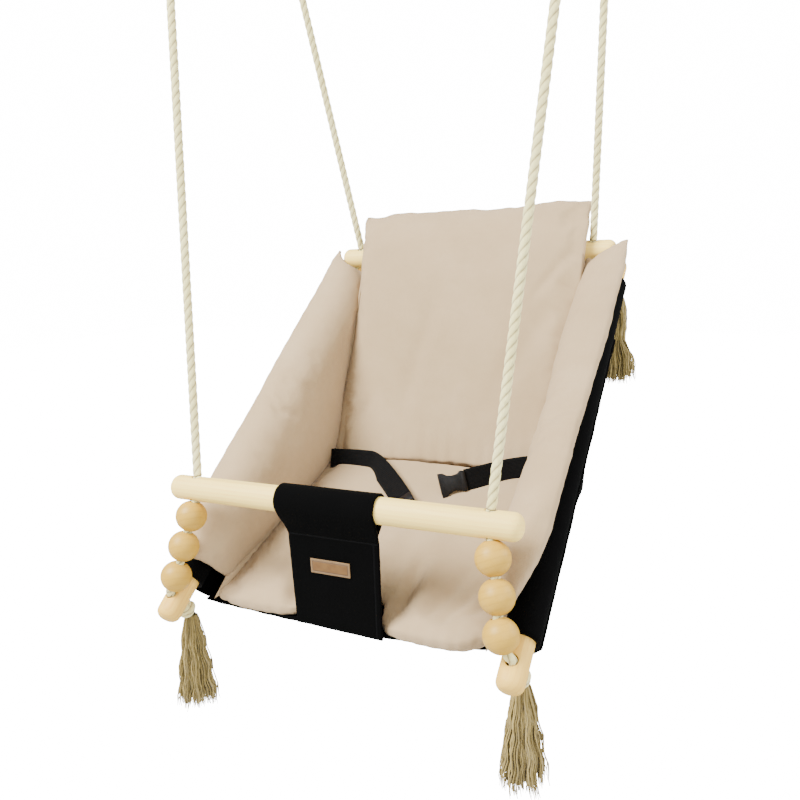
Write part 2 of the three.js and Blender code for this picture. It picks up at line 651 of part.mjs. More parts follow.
function addStraps() {
  const ribbon = (path, wides) => softBody(2, 14, (u, v) => {
    const place = v * (wides.length - 1);
    const first = Math.min(Math.floor(place), wides.length - 2);
    const wide = at(...wides[first]).lerp(at(...wides[first + 1]), place - first);
    const way = path.getTangentAt(v);
    wide.addScaledVector(way, -wide.dot(way)).normalize();
    return path.getPointAt(v).addScaledVector(wide, (u - 0.5) * strapWidth);
  }, () => strapThickness / 2);
  addPiece(seatFrame, 'waist_strap_left', ribbon(leftStrapPath, leftStrapWides), blackWebbing);
  addPiece(seatFrame, 'waist_strap_right', ribbon(rightStrapPath, rightStrapWides), blackWebbing);
}

// The two halves of the side-release buckle
function addBuckle() {
  const halfWidth = buckleWidth / 2;
  const socket = new THREE.Shape();
  const sideShares = [[0, 0.8], [0.14, 0.84], [0.3, 0.66], [0.5, 0.66], [0.8, 1], [1, 1]];
  sideShares.forEach(([down, out], i) => {
    const point = [down * buckleLength, out * halfWidth];
    if (i === 0) socket.moveTo(...point);
    else socket.lineTo(...point);
  });
  sideShares.slice().reverse().forEach(([down, out]) => socket.lineTo(down * buckleLength, -out * halfWidth));
  const thick = (shape, depth) =>
    new THREE.ExtrudeGeometry(shape, { depth, bevelEnabled: false }).translate(0, 0, -depth / 2);
  const layAtEnd = (body, path, wide) => {
    const ahead = path.getTangentAt(1);
    const up = ahead.clone().cross(wide).normalize();
    const square = up.clone().cross(ahead);
    const from = path.getPointAt(1).addScaledVector(ahead, slip);
    return body.applyMatrix4(new THREE.Matrix4().makeBasis(ahead, square, up).setPosition(from));
  };
  addPiece(seatFrame, 'buckle_socket',
    layAtEnd(thick(socket, buckleThickness), rightStrapPath, at(...downFrontWide)), blackPlastic);
  const base = new THREE.BoxGeometry(plugBaseLength, buckleWidth * 0.84, buckleThickness);
  base.translate(plugBaseLength / 2, 0, 0);
  const prongs = [-1, 0, 1].map((side) => {
    const prong = new THREE.BoxGeometry(prongLength, prongWidth, prongThickness);
    return prong.translate(plugBaseLength + prongLength / 2 - cutOverrun / 2, side * prongSpread, 0);
  });
  addPiece(seatFrame, 'buckle_plug',
    layAtEnd(join(base, ...prongs), leftStrapPath, at(...leftStrapWides.at(-1))), blackPlastic);
}

addBars();
addBeads();
addRopeTails();
addKnots();
addTassels();
addHooks();
addRopesAndEyes();
addSling();
addPanel();
addPads();
addStraps();
addBuckle();

export default seatSwing;
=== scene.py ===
# %% [markdown]
# # A hanging baby seat
# The seat hangs from four twisted cotton ropes. They run through two pine cross bars, a chain of wooden beads
# and two pine side bars, and end in knots with frayed tassels. A black canvas sling hangs between the bars and
# carries a beige padded insert. The CAD model is loaded first, as a fixed frame: every piece below goes where
# the frame says, in metres, and rides on one of its bodies.

# %% Load the frame
import math
import random
import bpy
import bmesh
from mathutils import Matrix, Vector, noise


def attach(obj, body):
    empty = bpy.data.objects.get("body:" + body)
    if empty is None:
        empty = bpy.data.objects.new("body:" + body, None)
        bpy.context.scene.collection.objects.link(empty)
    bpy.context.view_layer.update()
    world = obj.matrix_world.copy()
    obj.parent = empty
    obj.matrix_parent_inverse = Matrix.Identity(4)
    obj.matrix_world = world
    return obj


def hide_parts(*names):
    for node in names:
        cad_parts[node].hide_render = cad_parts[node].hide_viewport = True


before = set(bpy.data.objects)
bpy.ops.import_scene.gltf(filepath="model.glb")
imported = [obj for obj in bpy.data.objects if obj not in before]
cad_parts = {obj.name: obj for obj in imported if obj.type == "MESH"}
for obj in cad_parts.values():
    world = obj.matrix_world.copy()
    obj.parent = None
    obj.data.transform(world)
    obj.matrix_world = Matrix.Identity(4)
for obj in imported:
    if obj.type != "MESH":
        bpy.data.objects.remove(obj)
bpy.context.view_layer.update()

# %% [markdown]
# The seat is tilted on its ropes, so its pieces are easier to place in the seat's own directions: across it,
# along the side bars from their front rope holes, and above them. This helper turns such a place into the
# frame's own x, y and z.

# %% Places in the seat's own directions
TILT = math.radians(38.6)
FRONT_BAR = (0.095, 0.0894)
BACK_BAR = (0.558, 0.0315)
FRONT_BAR_Y, FRONT_BAR_Z = -0.202, -0.745
SEAT_START = Vector((
    0,
    FRONT_BAR_Y - FRONT_BAR[0] * math.cos(TILT) + FRONT_BAR[1] * math.sin(TILT),
    FRONT_BAR_Z - FRONT_BAR[0] * math.sin(TILT) - FRONT_BAR[1] * math.cos(TILT)))
ALONG = Vector((0, math.cos(TILT), math.sin(TILT)))
ABOVE = Vector((0, -math.sin(TILT), math.cos(TILT)))
ACROSS = Vector((1, 0, 0))


def seat(across, along, above):
    return SEAT_START + ACROSS * across + ALONG * along + ABOVE * above


SIDES = {"left": -1, "right": 1}
print("front bar middle", seat(0, *FRONT_BAR), "back bar middle", seat(0, *BACK_BAR))

# %% [markdown]
# The camera comes first, because every later choice is judged through it. It stands to the right of the seat,
# a little above it, and looks down by about ten degrees. Its place and lens were worked out from the bar ends,
# the beads and the rope holes.

# %% Camera
CAMERA_PLACE = (0.4508, -0.9109, -0.4841)
YAW, PITCH, ROLL = 0.4761, 0.1818, -0.0394
camera_data = bpy.data.cameras.new("photo_camera")
camera_data.lens = 37.917
camera_data.sensor_width = 36
camera = bpy.data.objects.new("photo_camera", camera_data)
bpy.context.scene.collection.objects.link(camera)
forward = Vector((-math.sin(YAW) * math.cos(PITCH), math.cos(YAW) * math.cos(PITCH), -math.sin(PITCH)))
level = Vector((math.cos(YAW), math.sin(YAW), 0))
upright = level.cross(forward)
right = level * math.cos(ROLL) + upright * math.sin(ROLL)
up = upright * math.cos(ROLL) - level * math.sin(ROLL)
look = Matrix((right, up, -forward)).transposed().to_4x4()
camera.matrix_world = Matrix.Translation(CAMERA_PLACE) @ look
bpy.context.scene.camera = camera
print("camera at", camera.matrix_world.translation)

# %% [markdown]
# Two small habits keep the rest short. And every piece gets its finish, its body and the node that it replaces
# in one call. The steps that come back in many pieces, such as a rounded edge, a cut or a turned-out face, are
# helpers too.

# %% Helpers for pieces
def nothing_selected():
    if bpy.context.object and bpy.context.object.mode != "OBJECT":
        bpy.ops.object.mode_set(mode="OBJECT")
    bpy.ops.object.select_all(action="DESELECT")


def only(piece):
    nothing_selected()
    piece.select_set(True)
    bpy.context.view_layer.objects.active = piece
    return piece


def added(primitive, **settings):
    nothing_selected()
    primitive(**settings)
    return bpy.context.object


def mesh_piece(name, corners, faces):
    mesh = bpy.data.meshes.new(name)
    mesh.from_pydata([tuple(corner) for corner in corners], [], faces)
    mesh.update()
    piece = bpy.data.objects.new(name, mesh)
    bpy.context.scene.collection.objects.link(piece)
    mesh.polygons.foreach_set("use_smooth", [True] * len(mesh.polygons))
    return piece


def write_map(piece, name, places):
    """A UV map with one place for each corner of each face, in the order of the faces."""
    layer = piece.data.uv_layers.new(name=name)
    for loop, place in zip(layer.data, places):
        loop.uv = place


def settled(piece):
    only(piece)
    bpy.ops.object.transform_apply(location=True, rotation=True, scale=True)
    return piece


def with_modifier(piece, kind, **settings):
    only(piece)
    modifier = piece.modifiers.new(kind.lower(), kind)
    for setting, value in settings.items():
        setattr(modifier, setting, value)
    bpy.ops.object.modifier_apply(modifier=modifier.name)
    return piece


def rounded(piece, width, segments, degrees):
    """Bevels every edge that is sharper than so many degrees."""
    return with_modifier(piece, "BEVEL", width=width, segments=segments, limit_method="ANGLE",
                         angle_limit=math.radians(degrees))


def cut_by(piece, cutter):
    with_modifier(piece, "BOOLEAN", object=cutter, operation="DIFFERENCE", solver="EXACT")
    bpy.data.objects.remove(cutter)


def smooth_to(piece, degrees):
    only(piece)
    bpy.ops.object.shade_smooth_by_angle(angle=math.radians(degrees))
    return piece


def faces_outwards():
    """Turns every face outwards and leaves edit mode."""
    bpy.ops.mesh.select_all(action="SELECT")
    bpy.ops.mesh.normals_make_consistent(inside=False)
    bpy.ops.object.mode_set(mode="OBJECT")


def joined(first, *others):
    only(first)
    for other in others:
        other.select_set(True)
    bpy.ops.object.join()
    return first


def dressed(piece, finish, slot, body, *nodes):
    piece.data.materials.clear()
    piece.data.materials.append(finish)
    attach(piece, body)
    if nodes:
        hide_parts(*nodes)
    return piece


# %% [markdown]
# ## Finishes
# Several finishes share the same effects: a woven thread pattern and long grain. Each is a node group, built
# once, that puts out a mask or a height. Soft stains and fuzz are one noise node each, so they are placed
# straight in the materials, where the shaders stay too.

# %% Building node trees
def new_group(name, inputs, outputs):
    group = bpy.data.node_groups.new(name, "ShaderNodeTree")
    for label, kind, value in inputs:
        socket = group.interface.new_socket(name=label, in_out="INPUT", socket_type=kind)
        if value is not None:
            socket.default_value = value
    for label, kind in outputs:
        group.interface.new_socket(name=label, in_out="OUTPUT", socket_type=kind)
    return group, group.nodes.new("NodeGroupInput"), group.nodes.new("NodeGroupOutput")


def node(tree, kind, links=(), **settings):
    made = tree.nodes.new(kind)
    for setting, value in settings.items():
        setattr(made, setting, value)
    for socket, source in dict(links).items():
        if isinstance(source, (int, float, tuple)):
            made.inputs[socket].default_value = source
        else:
            tree.links.new(source, made.inputs[socket])
    return made


def maths(tree, operation, *values):
    return node(tree, "ShaderNodeMath", dict(enumerate(values)), operation=operation).outputs[0]


def ramp(tree, source, *stops):
    made = node(tree, "ShaderNodeValToRGB", {"Fac": source})
    elements = made.color_ramp.elements
    while len(elements) < len(stops):
        elements.new(0.5)
    for element, (place, colour) in zip(elements, stops):
        element.position = place
        element.color = (*colour, 1)
    return made.outputs["Color"]


def clouds(tree, place, scale, detail):
    return node(tree, "ShaderNodeTexNoise", {"Vector": place, "Scale": scale, "Detail": detail}).outputs["Fac"]


def mixture(tree, *parts):
    """Adds several sources together, each times its share."""
    total = None
    for source, share in reversed(parts):
        product = maths(tree, "MULTIPLY", source, share)
        total = product if total is None else maths(tree, "ADD", product, total)
    return total


def painted(tree, share, under, over):
    """Lays one colour over another. The Mix node's colour sockets share their names, so they go by number."""
    return node(tree, "ShaderNodeMix", {0: share, 6: under, 7: over}, data_type="RGBA").outputs[2]


def fading(tree, value, near, far, **settings):
    """1 where the value is under near, and down to 0 at far."""
    return node(tree, "ShaderNodeMapRange", {"Value": value, 1: near, 2: far, 3: 1.0, 4: 0.0}, **settings).outputs[0]


def map_axes(tree, name):
    """The two directions of a piece's own UV map, X across or round it and Y along it."""
    return node(tree, "ShaderNodeSeparateXYZ", {0: node(tree, "ShaderNodeUVMap", uv_map=name).outputs[0]}).outputs


def grey(value):
    return (value, value, value)


# %% Woven threads
def build_weave():
    tree, given, result = new_group(
        "woven_threads",
        [("Surface", "NodeSocketVector", None), ("Threads per metre", "NodeSocketFloat", 1400.0),
         ("Slub", "NodeSocketFloat", 0.35)],
        [("Height", "NodeSocketFloat"), ("Shade", "NodeSocketFloat")])
    scaled = node(tree, "ShaderNodeVectorMath", {0: given.outputs["Surface"]}, operation="SCALE")
    tree.links.new(given.outputs["Threads per metre"], scaled.inputs["Scale"])
    wobble = clouds(tree, given.outputs["Surface"], 60.0, 3.0)
    apart = node(tree, "ShaderNodeSeparateXYZ", {0: scaled.outputs[0]})
    bent = maths(tree, "MULTIPLY", wobble, 3.0)
    warp = maths(tree, "SINE", maths(tree, "MULTIPLY", maths(tree, "ADD", apart.outputs["X"], bent), math.pi))
    weft = maths(tree, "SINE", maths(tree, "MULTIPLY", maths(tree, "ADD", apart.outputs["Y"], bent), math.pi))
    over = maths(tree, "MULTIPLY", warp, weft)
    threads = maths(tree, "MAXIMUM", maths(tree, "ABSOLUTE", warp), maths(tree, "ABSOLUTE", weft))
    slub = clouds(tree, scaled.outputs[0], 0.12, 4.0)
    fuzz = maths(tree, "MULTIPLY", slub, given.outputs["Slub"])
    crossing = maths(tree, "MULTIPLY", maths(tree, "ADD", over, 1.0), 0.35)
    height = maths(tree, "ADD", maths(tree, "MULTIPLY", threads, crossing), fuzz)
    tree.links.new(height, result.inputs["Height"])
    tree.links.new(maths(tree, "ADD", maths(tree, "MULTIPLY", threads, 0.25), fuzz), result.inputs["Shade"])
    return tree


weave_group = build_weave()
print("group", weave_group.name)

# %% [markdown]
# Long grain shows on every pine and beech piece. Wood has growth rings round a pith that usually lies outside
# the dowel, so the lines run along the bar and turn into arcs on its end. The group measures the distance from
# such a pith line, bends it a little with noise, and repeats it ring by ring.

# %% Long grain
def build_grain():
    tree, given, result = new_group(
        "long_grain",
        [("Surface", "NodeSocketVector", None), ("Ring spacing", "NodeSocketFloat", 0.0036),
         ("Bend", "NodeSocketFloat", 0.004)],
        [("Late wood", "NodeSocketFloat"), ("Fibre", "NodeSocketFloat")])
    slow = node(tree, "ShaderNodeMapping", {"Vector": given.outputs["Surface"], "Scale": (4.0, 22.0, 22.0)})
    sway = clouds(tree, slow.outputs[0], 1.0, 2.0)
    apart = node(tree, "ShaderNodeSeparateXYZ", {0: given.outputs["Surface"]})
    high = maths(tree, "ADD", apart.outputs["Z"], 0.031)
    wide = maths(tree, "ADD", apart.outputs["Y"], 0.017)
    reach = maths(tree, "SQRT", maths(tree, "ADD", maths(tree, "MULTIPLY", high, high),
                                      maths(tree, "MULTIPLY", wide, wide)))
    bend = maths(tree, "MULTIPLY", maths(tree, "SUBTRACT", sway, 0.5), given.outputs["Bend"])
    rings = maths(tree, "FRACT", maths(tree, "DIVIDE", maths(tree, "ADD", reach, bend),
                                       given.outputs["Ring spacing"]))
    late = ramp(tree, rings, (0.0, grey(0.0)), (0.55, grey(0.1)), (0.86, grey(0.8)), (0.95, grey(1.0)),
                (1.0, grey(0.0)))
    long = node(tree, "ShaderNodeMapping", {"Vector": given.outputs["Surface"], "Scale": (30.0, 1500.0, 1500.0)})
    fibre = clouds(tree, long.outputs[0], 1.0, 3.0)
    tree.links.new(late, result.inputs["Late wood"])
    tree.links.new(fibre, result.inputs["Fibre"])
    return tree


grain_group = build_grain()
print("group", grain_group.name)


# %% Colours and a first shader
def tone(hex_code):
    parts = [int(hex_code[place:place + 2], 16) / 255 for place in (0, 2, 4)]
    return tuple(part / 12.92 if part <= 0.04045 else ((part + 0.055) / 1.055) ** 2.4 for part in parts)


def new_finish(name, **plain):
    finish = bpy.data.materials.new(name)
    finish.use_nodes = True
    shader = finish.node_tree.nodes["Principled BSDF"]
    for socket, value in plain.items():
        shader.inputs[socket.replace("_", " ")].default_value = value
    return finish, finish.node_tree, shader


def use_group(tree, group, **inputs):
    placed = tree.nodes.new("ShaderNodeGroup")
    placed.node_tree = group
    for socket, source in inputs.items():
        label = socket.replace("_", " ")
        if isinstance(source, (int, float)):
            placed.inputs[label].default_value = source
        else:
            tree.links.new(source, placed.inputs[label])
    return placed.outputs


def object_place(tree, turn=(0, 0, 0), shift=(0, 0, 0)):
    place = node(tree, "ShaderNodeTexCoord")
    mapping = node(tree, "ShaderNodeMapping", {"Vector": place.outputs["Object"], "Rotation": turn,
                                               "Location": shift})
    return mapping.outputs[0]


def bump(tree, shader, height, distance, strength):
    made = node(tree, "ShaderNodeBump", {"Height": height, "Distance": distance, "Strength": strength})
    tree.links.new(made.outputs[0], shader.inputs["Normal"])


# %% Pine and beech
def wood_finish(name, light, dark, turn, shift, spacing, rough):
    finish, tree, shader = new_finish(name, Roughness=rough, Specular_IOR_Level=0.25)
    surface = object_place(tree, turn, shift)
    grain = use_group(tree, grain_group, Surface=surface, Ring_spacing=spacing)
    patches = maths(tree, "ADD", maths(tree, "MULTIPLY", clouds(tree, surface, 18.0, 2.0), 1.1), -0.1)
    strength = maths(tree, "MULTIPLY", grain["Late wood"], patches)
    shade = mixture(tree, (strength, 0.34), (grain["Fibre"], 0.42))
    colour = ramp(tree, shade, (0.08, tone(light)), (0.95, tone(dark)))
    tree.links.new(colour, shader.inputs["Base Color"])
    bump(tree, shader, maths(tree, "ADD", grain["Fibre"], grain["Late wood"]), 0.00012, 0.6)
    return finish


cross_pine = wood_finish("pine_across", "fde382", "e6a542", turn=(0, 0, 0), shift=(0.21, 0.202, 0.757),
                         spacing=0.0042, rough=0.5)
side_pine = wood_finish("pine_along", "ecc35c", "c4852c", turn=(-TILT, 0, math.pi / 2), shift=(0, 0.02, 0.01),
                        spacing=0.0048, rough=0.5)
bead_beech = wood_finish("bead_wood", "c49c3a", "9f7824", turn=(0.6, 0.3, 0.4), shift=(0, 0, 0), spacing=0.0065,
                         rough=0.42)
print("wood finishes", cross_pine.name, side_pine.name, bead_beech.name)

# %% [markdown]
# ## Bars
# The bars are turned dowels with rounded ends and a drilled hole for each rope. A cylinder is added at the
# bar's own size, its two end rims are bevelled in edit mode, and the holes are cut with a boolean, as a drill
# would. The cross bars' holes are bent inside: one drill follows the rope up, the other follows it down. The
# lengths that end in END say how far a bar reaches past its rope holes.

# %% Where holes and ropes go
BAR = 0.028
ROPE = 0.010
HOLE = 0.013
BEAD = 0.035
GAP = 0.0003
FRONT_HOLES, BACK_HOLES, SIDE_BARS = 0.1745, 0.171, 0.204
FRONT_END, BACK_END, SIDE_END = 0.033, 0.030, 0.026
BAR_ROUND, HOLE_ROUND = 0.009, 0.0007
DRILL_PAST, DRILL_OUT, SIDE_DRILL = 0.004, 0.03, 0.02
SIDE_REACH = 0.545
CONVERGE = 0.008
CHAIN_LEAN = 0.010
ROPE_CLEAR, ROPE_RISE = 0.0006, 0.0015
BEAD_SEAT = BAR / 2 + BEAD / 2 + GAP
BEAD_PITCH = BEAD + GAP
HOOKS = {"front": (0.242, -0.096), "rear": (0.216, 0.096)}
PLATE, SHANK, HOOK_BEND = 0.004, 0.024, 0.014
THROAT = PLATE + SHANK + HOOK_BEND


def hook(side, row):
    spread, ahead = HOOKS[row]
    return Vector((side * spread, ahead, -THROAT))


def bar_hole(side, row):
    return seat(side * FRONT_HOLES, *FRONT_BAR) if row == "front" else seat(side * BACK_HOLES, *BACK_BAR)


def bar_across(side, along):
    return side * (SIDE_BARS - CONVERGE * along / SIDE_REACH)


def by_side_bar(side, along, above=0.0):
    return seat(bar_across(side, along), along, above)


def side_mouth(side, along):
    return by_side_bar(side, along, BAR / 2 + ROPE_RISE)


def rope_way(side, row):
    return (hook(side, row) - bar_hole(side, row)).normalized()


def bar_mouth(side, row, clear):
    way = rope_way(side, row)
    return bar_hole(side, row) + way * (BAR / 2 + clear) / math.hypot(way.y, way.z)


def chain_way(side):
    run = BEAD_SEAT + 2 * BEAD_PITCH
    across = side * (SIDE_BARS - CHAIN_LEAN - FRONT_HOLES)
    fall = math.sqrt(BEAD_SEAT ** 2 - CHAIN_LEAN ** 2) - FRONT_BAR[1]
    way = seat(across, -math.sqrt(run ** 2 - across ** 2 - fall ** 2), fall) - seat(0, 0, 0)
    return way.normalized()


def bead_middle(side, number):
    return bar_hole(side, "front") + chain_way(side) * (BEAD_SEAT + number * BEAD_PITCH)


def bore_way(side, number):
    if number < 2:
        return chain_way(side)
    return ((side_mouth(side, 0) - bead_middle(side, 2)).normalized() + chain_way(side)).normalized()


print("left rope rises from", bar_mouth(-1, "front", ROPE_CLEAR))


# %% Turned bars
def turn_to(way):
    return Vector((0, 0, 1)).rotation_difference(way)


def turned_bar(name, middle, way, length, holes):
    bar = added(bpy.ops.mesh.primitive_cylinder_add, vertices=48, radius=BAR / 2, depth=length, location=middle,
                rotation=turn_to(way).to_euler())
    bar.name = name
    bpy.ops.object.mode_set(mode="EDIT")
    bpy.ops.mesh.select_all(action="DESELECT")
    shape = bmesh.from_edit_mesh(bar.data)
    for face in shape.faces:
        if len(face.verts) > 4:
            for edge in face.edges:
                edge.select = True
    bmesh.update_edit_mesh(bar.data)
    bpy.ops.mesh.bevel(offset=BAR_ROUND, segments=5, profile=0.5, affect="EDGES")
    bpy.ops.object.mode_set(mode="OBJECT")
    settled(bar)
    for start, end in holes:
        along = end - start
        cut_by(bar, added(bpy.ops.mesh.primitive_cylinder_add, vertices=32, radius=HOLE / 2, depth=along.length,
                          location=(start + end) / 2, rotation=turn_to(along).to_euler()))
    rounded(bar, HOLE_ROUND, 2, 45)
    return smooth_to(bar, 32)


def bent_hole(hole, up_way, down_way):
    return [(hole - way * DRILL_PAST, hole + way * DRILL_OUT) for way in (up_way, down_way)]


def rear_way(side):
    return (side_mouth(side, SIDE_REACH) - bar_hole(side, "rear")).normalized()


front_holes = [cut for side in SIDES.values()
               for cut in bent_hole(bar_hole(side, "front"), rope_way(side, "front"), chain_way(side))]
rear_holes = [cut for side in SIDES.values()
              for cut in bent_hole(bar_hole(side, "rear"), rope_way(side, "rear"), rear_way(side))]
front_bar = turned_bar("turned_front_bar", seat(0, *FRONT_BAR), ACROSS, 2 * (FRONT_HOLES + FRONT_END),
                       front_holes)
dressed(front_bar, cross_pine, "pine", "seat", "front_bar")
back_bar = turned_bar("turned_back_bar", seat(0, *BACK_BAR), ACROSS, 2 * (BACK_HOLES + BACK_END), rear_holes)
dressed(back_bar, cross_pine, "pine", "seat", "back_bar")
for name, side in SIDES.items():
    ends = [by_side_bar(side, along) for along in (0, SIDE_REACH)]
    side_holes = [(end - ABOVE * SIDE_DRILL, end + ABOVE * SIDE_DRILL) for end in ends]
    side_bar = turned_bar("turned_side_bar_" + name, (ends[0] + ends[1]) / 2, (ends[1] - ends[0]).normalized(),
                          SIDE_REACH + 2 * SIDE_END, side_holes)
    dressed(side_bar, side_pine, "pine", "seat", "side_bar_" + name)
print("bars", len(front_bar.data.vertices), len(back_bar.data.vertices), len(side_bar.data.vertices))

# %% [markdown]
# ## Beads
# Each bead is a turned ball with a bore. A sphere is added, its two polar caps are deleted in edit mode and the
# two rims are bridged, which makes the bore. One bead is modelled and copied six times.

# %% Beads
BEAD_BORE = 0.0045


def drilled_ball():
    ball = added(bpy.ops.mesh.primitive_uv_sphere_add, segments=40, ring_count=30, radius=BEAD / 2)
    ball.name = "bead_pattern"
    bpy.ops.object.mode_set(mode="EDIT")
    bpy.ops.mesh.select_all(action="DESELECT")
    shape = bmesh.from_edit_mesh(ball.data)
    for corner in shape.verts:
        if math.hypot(corner.co.x, corner.co.y) < BEAD_BORE:
            corner.select = True
    shape.select_flush(True)
    bmesh.update_edit_mesh(ball.data)
    bpy.ops.mesh.delete(type="VERT")
    bpy.ops.mesh.select_all(action="SELECT")
    bpy.ops.mesh.region_to_loop()
    bpy.ops.mesh.bridge_edge_loops()
    faces_outwards()
    rounded(ball, 0.0004, 2, 40)
    return smooth_to(ball, 35)


ball = drilled_ball()
for name, side in SIDES.items():
    for number in range(3):
        node_name = "bead_%s_%d" % (name, number + 1)
        bead = ball.copy()
        bead.data = ball.data.copy()
        bead.name = "beech_" + node_name
        bpy.context.scene.collection.objects.link(bead)
        turn = turn_to(bore_way(side, number)).to_matrix().to_4x4()
        bead.matrix_world = Matrix.Translation(bead_middle(side, number)) @ turn
        bpy.context.view_layer.update()
        settled(bead)
        dressed(bead, bead_beech, "bead_wood", node_name + "_body", node_name)
bpy.data.objects.remove(ball)
print("bead corners", len(bead.data.vertices))

# %% [markdown]
# ## Rope
# The rope is three-strand twisted cotton, 10 mm thick. One strand is a thick yarn that winds round the other
# two, so the cross-section is a clover leaf that turns once in every 34 mm. The tube is swept in code along its
# route, with that leaf as its outline. Its own UV map says how far round and how far along a point is, and the
# finish draws the fine yarns from it and paints shade into the grooves between the strands.

# %% Sweeping a tube along a route
def runs_along(points):
    """How far along a line each of its points lies."""
    runs = [0.0]
    for before, after in zip(points, points[1:]):
        runs.append(runs[-1] + (after - before).length)
    return runs


def evenly(points, step):
    """Spreads points evenly along a line, about a step apart."""
    lengths = runs_along(points)
    count = max(2, round(lengths[-1] / step))
    spread, place = [], 0
    for number in range(count + 1):
        want = lengths[-1] * number / count
        while place < len(points) - 2 and lengths[place + 1] < want:
            place += 1
        part = (want - lengths[place]) / max(lengths[place + 1] - lengths[place], 1e-9)
        spread.append(points[place].lerp(points[place + 1], min(max(part, 0), 1)))
    return spread, lengths[-1]


def smooth_route(points, per_stretch=12):
    """A smooth line through every point."""
    ends = [points[0] * 2 - points[1], *points, points[-1] * 2 - points[-2]]
    route = []
    for before, start, end, after in zip(ends, ends[1:], ends[2:], ends[3:]):
        for number in range(per_stretch):
            t = number / per_stretch
            route.append(0.5 * ((2 * start) + (end - before) * t
                                + (2 * before - 5 * start + 4 * end - after) * t ** 2
                                + (3 * start - before - 3 * end + after) * t ** 3))
    return route + [points[-1]]


def sweep(name, points, outline, step):
    """A tube along points; outline(turn, run) gives the radius at an angle and a run along the tube."""
    route, length = evenly(points, step)
    stretches = len(route) - 1
    rings, sides = [], 24
    way = (route[1] - route[0]).normalized()
    aside = way.orthogonal().normalized()
    for number, point in enumerate(route):
        before, after = route[max(number - 1, 0)], route[min(number + 1, stretches)]
        new_way = (after - before).normalized()
        aside = (way.rotation_difference(new_way) @ aside).normalized()
        aside = (aside - new_way * aside.dot(new_way)).normalized()
        way = new_way
        square = way.cross(aside)
        run = length * number / stretches
        rings.append([point + (aside * math.cos(turn) + square * math.sin(turn)) * outline(turn, run)
                      for turn in (math.tau * corner / sides for corner in range(sides))])
    corners = [corner for ring in rings for corner in ring]
    faces, maps = [], []
    for number in range(stretches):
        at, ahead = number * sides, (number + 1) * sides
        near, far = length * number / stretches, length * (number + 1) / stretches
        for corner in range(sides):
            beside = (corner + 1) % sides
            faces.append((at + corner, at + beside, ahead + beside, ahead + corner))
            round_from, round_to = corner / sides, (corner + 1) / sides
            maps += [(round_from, near), (round_to, near), (round_to, far), (round_from, far)]
    faces.append(tuple(reversed(range(sides))))
    faces.append(tuple(stretches * sides + corner for corner in range(sides)))
    maps += [(0.5, 0.0)] * sides + [(0.5, length)] * sides
    piece = mesh_piece(name, corners, faces)
    write_map(piece, "run_map", maps)
    return piece, length


LAY = 0.034


def clover(diameter):
    def outline(turn, run):
        leaf = abs(math.cos(1.5 * (turn - math.tau * run / LAY)))
        return diameter / 2 * (0.74 + 0.27 * math.sqrt(leaf))
    return outline


def rope_piece(name, points, diameter=ROPE, step=0.0022):
    return sweep(name, points, clover(diameter), step)


# %% Cotton rope finish
def rope_finish():
    finish, tree, shader = new_finish("twisted_cotton", Roughness=0.95, Sheen_Weight=0.25, Sheen_Roughness=0.6)
    run_map = map_axes(tree, "run_map")
    lag = maths(tree, "SUBTRACT", run_map["X"], maths(tree, "DIVIDE", run_map["Y"], LAY))
    leaf = maths(tree, "ABSOLUTE", maths(tree, "COSINE", maths(tree, "MULTIPLY", lag, 3 * math.pi)))
    groove = maths(tree, "POWER", maths(tree, "SUBTRACT", 1.0, leaf), 2.5)
    place = object_place(tree)
    fuzz, drift = clouds(tree, place, 320.0, 4.0), clouds(tree, place, 14.0, 2.0)
    yarn_run = mixture(tree, (run_map["X"], 30.0), (run_map["Y"], 130.0), (fuzz, 1.6))
    yarns = maths(tree, "ABSOLUTE", maths(tree, "SINE", maths(tree, "MULTIPLY", yarn_run, math.pi)))
    shade = mixture(tree, (yarns, 0.3), (fuzz, 0.35), (drift, 0.35))
    pale = ramp(tree, shade, (0.1, tone("dcc578")), (0.55, tone("f6eca0")), (0.95, tone("faf6c6")))
    # Painted shade: the grooves between the strands are darkened towards 8a7240.
    colour = painted(tree, maths(tree, "MULTIPLY", groove, 0.9), pale, (*tone("8a7240"), 1))
    tree.links.new(colour, shader.inputs["Base Color"])
    bump(tree, shader, maths(tree, "ADD", yarns, maths(tree, "MULTIPLY", fuzz, 0.8)), 0.0005, 0.8)
    return finish


cotton_rope = rope_finish()
print("finish", cotton_rope.name)

# %% [markdown]
# The free stretches run straight and taut from the bars to the knot under each hanging eye, and each eye is
# a separate piece on its rope. The eye is a loop of the same rope whose two legs meet in a wound knot. The
# front eyes hang close on their hooks, and the rear ones have a little room to ride in the
# swing.

# %% Free ropes, eyes and their knots
EYE_LENGTH, EYE_WIDTH = 0.058, 0.028
KNOT_HEIGHT, KNOT_WIDTH = 0.018, 0.022
KNOT_CORE = 0.011
WIRE_HALF = 0.003
EYE_SLIP = {"front": 0.0006, "rear": 0.003}


def wound_knot(name, middle, way, height, width, turns, rope=0.0088):
    aside = way.orthogonal().normalized()
    square = way.cross(aside)
    reach = width / 2 - rope / 2
    low, high = -height / 2 + rope / 2, height / 2 - rope / 2
    points = []
    steps = int(28 * turns)
    for number in range(steps + 1):
        share = number / steps
        turn = math.tau * turns * share
        tuck = min(1, min(share, 1 - share) * turns * 3)
        points.append(middle + way * (low + (high - low) * share)
                      + (aside * math.cos(turn) + square * math.sin(turn)) * reach * (0.35 + 0.65 * tuck))
    return rope_piece(name, points, rope, 0.0016)[0]


def fill_core(name, middle, way, height, width):
    start, end = middle - way * height / 2, middle + way * height / 2
    return rope_piece(name, [start, middle, end], width, 0.002)[0]


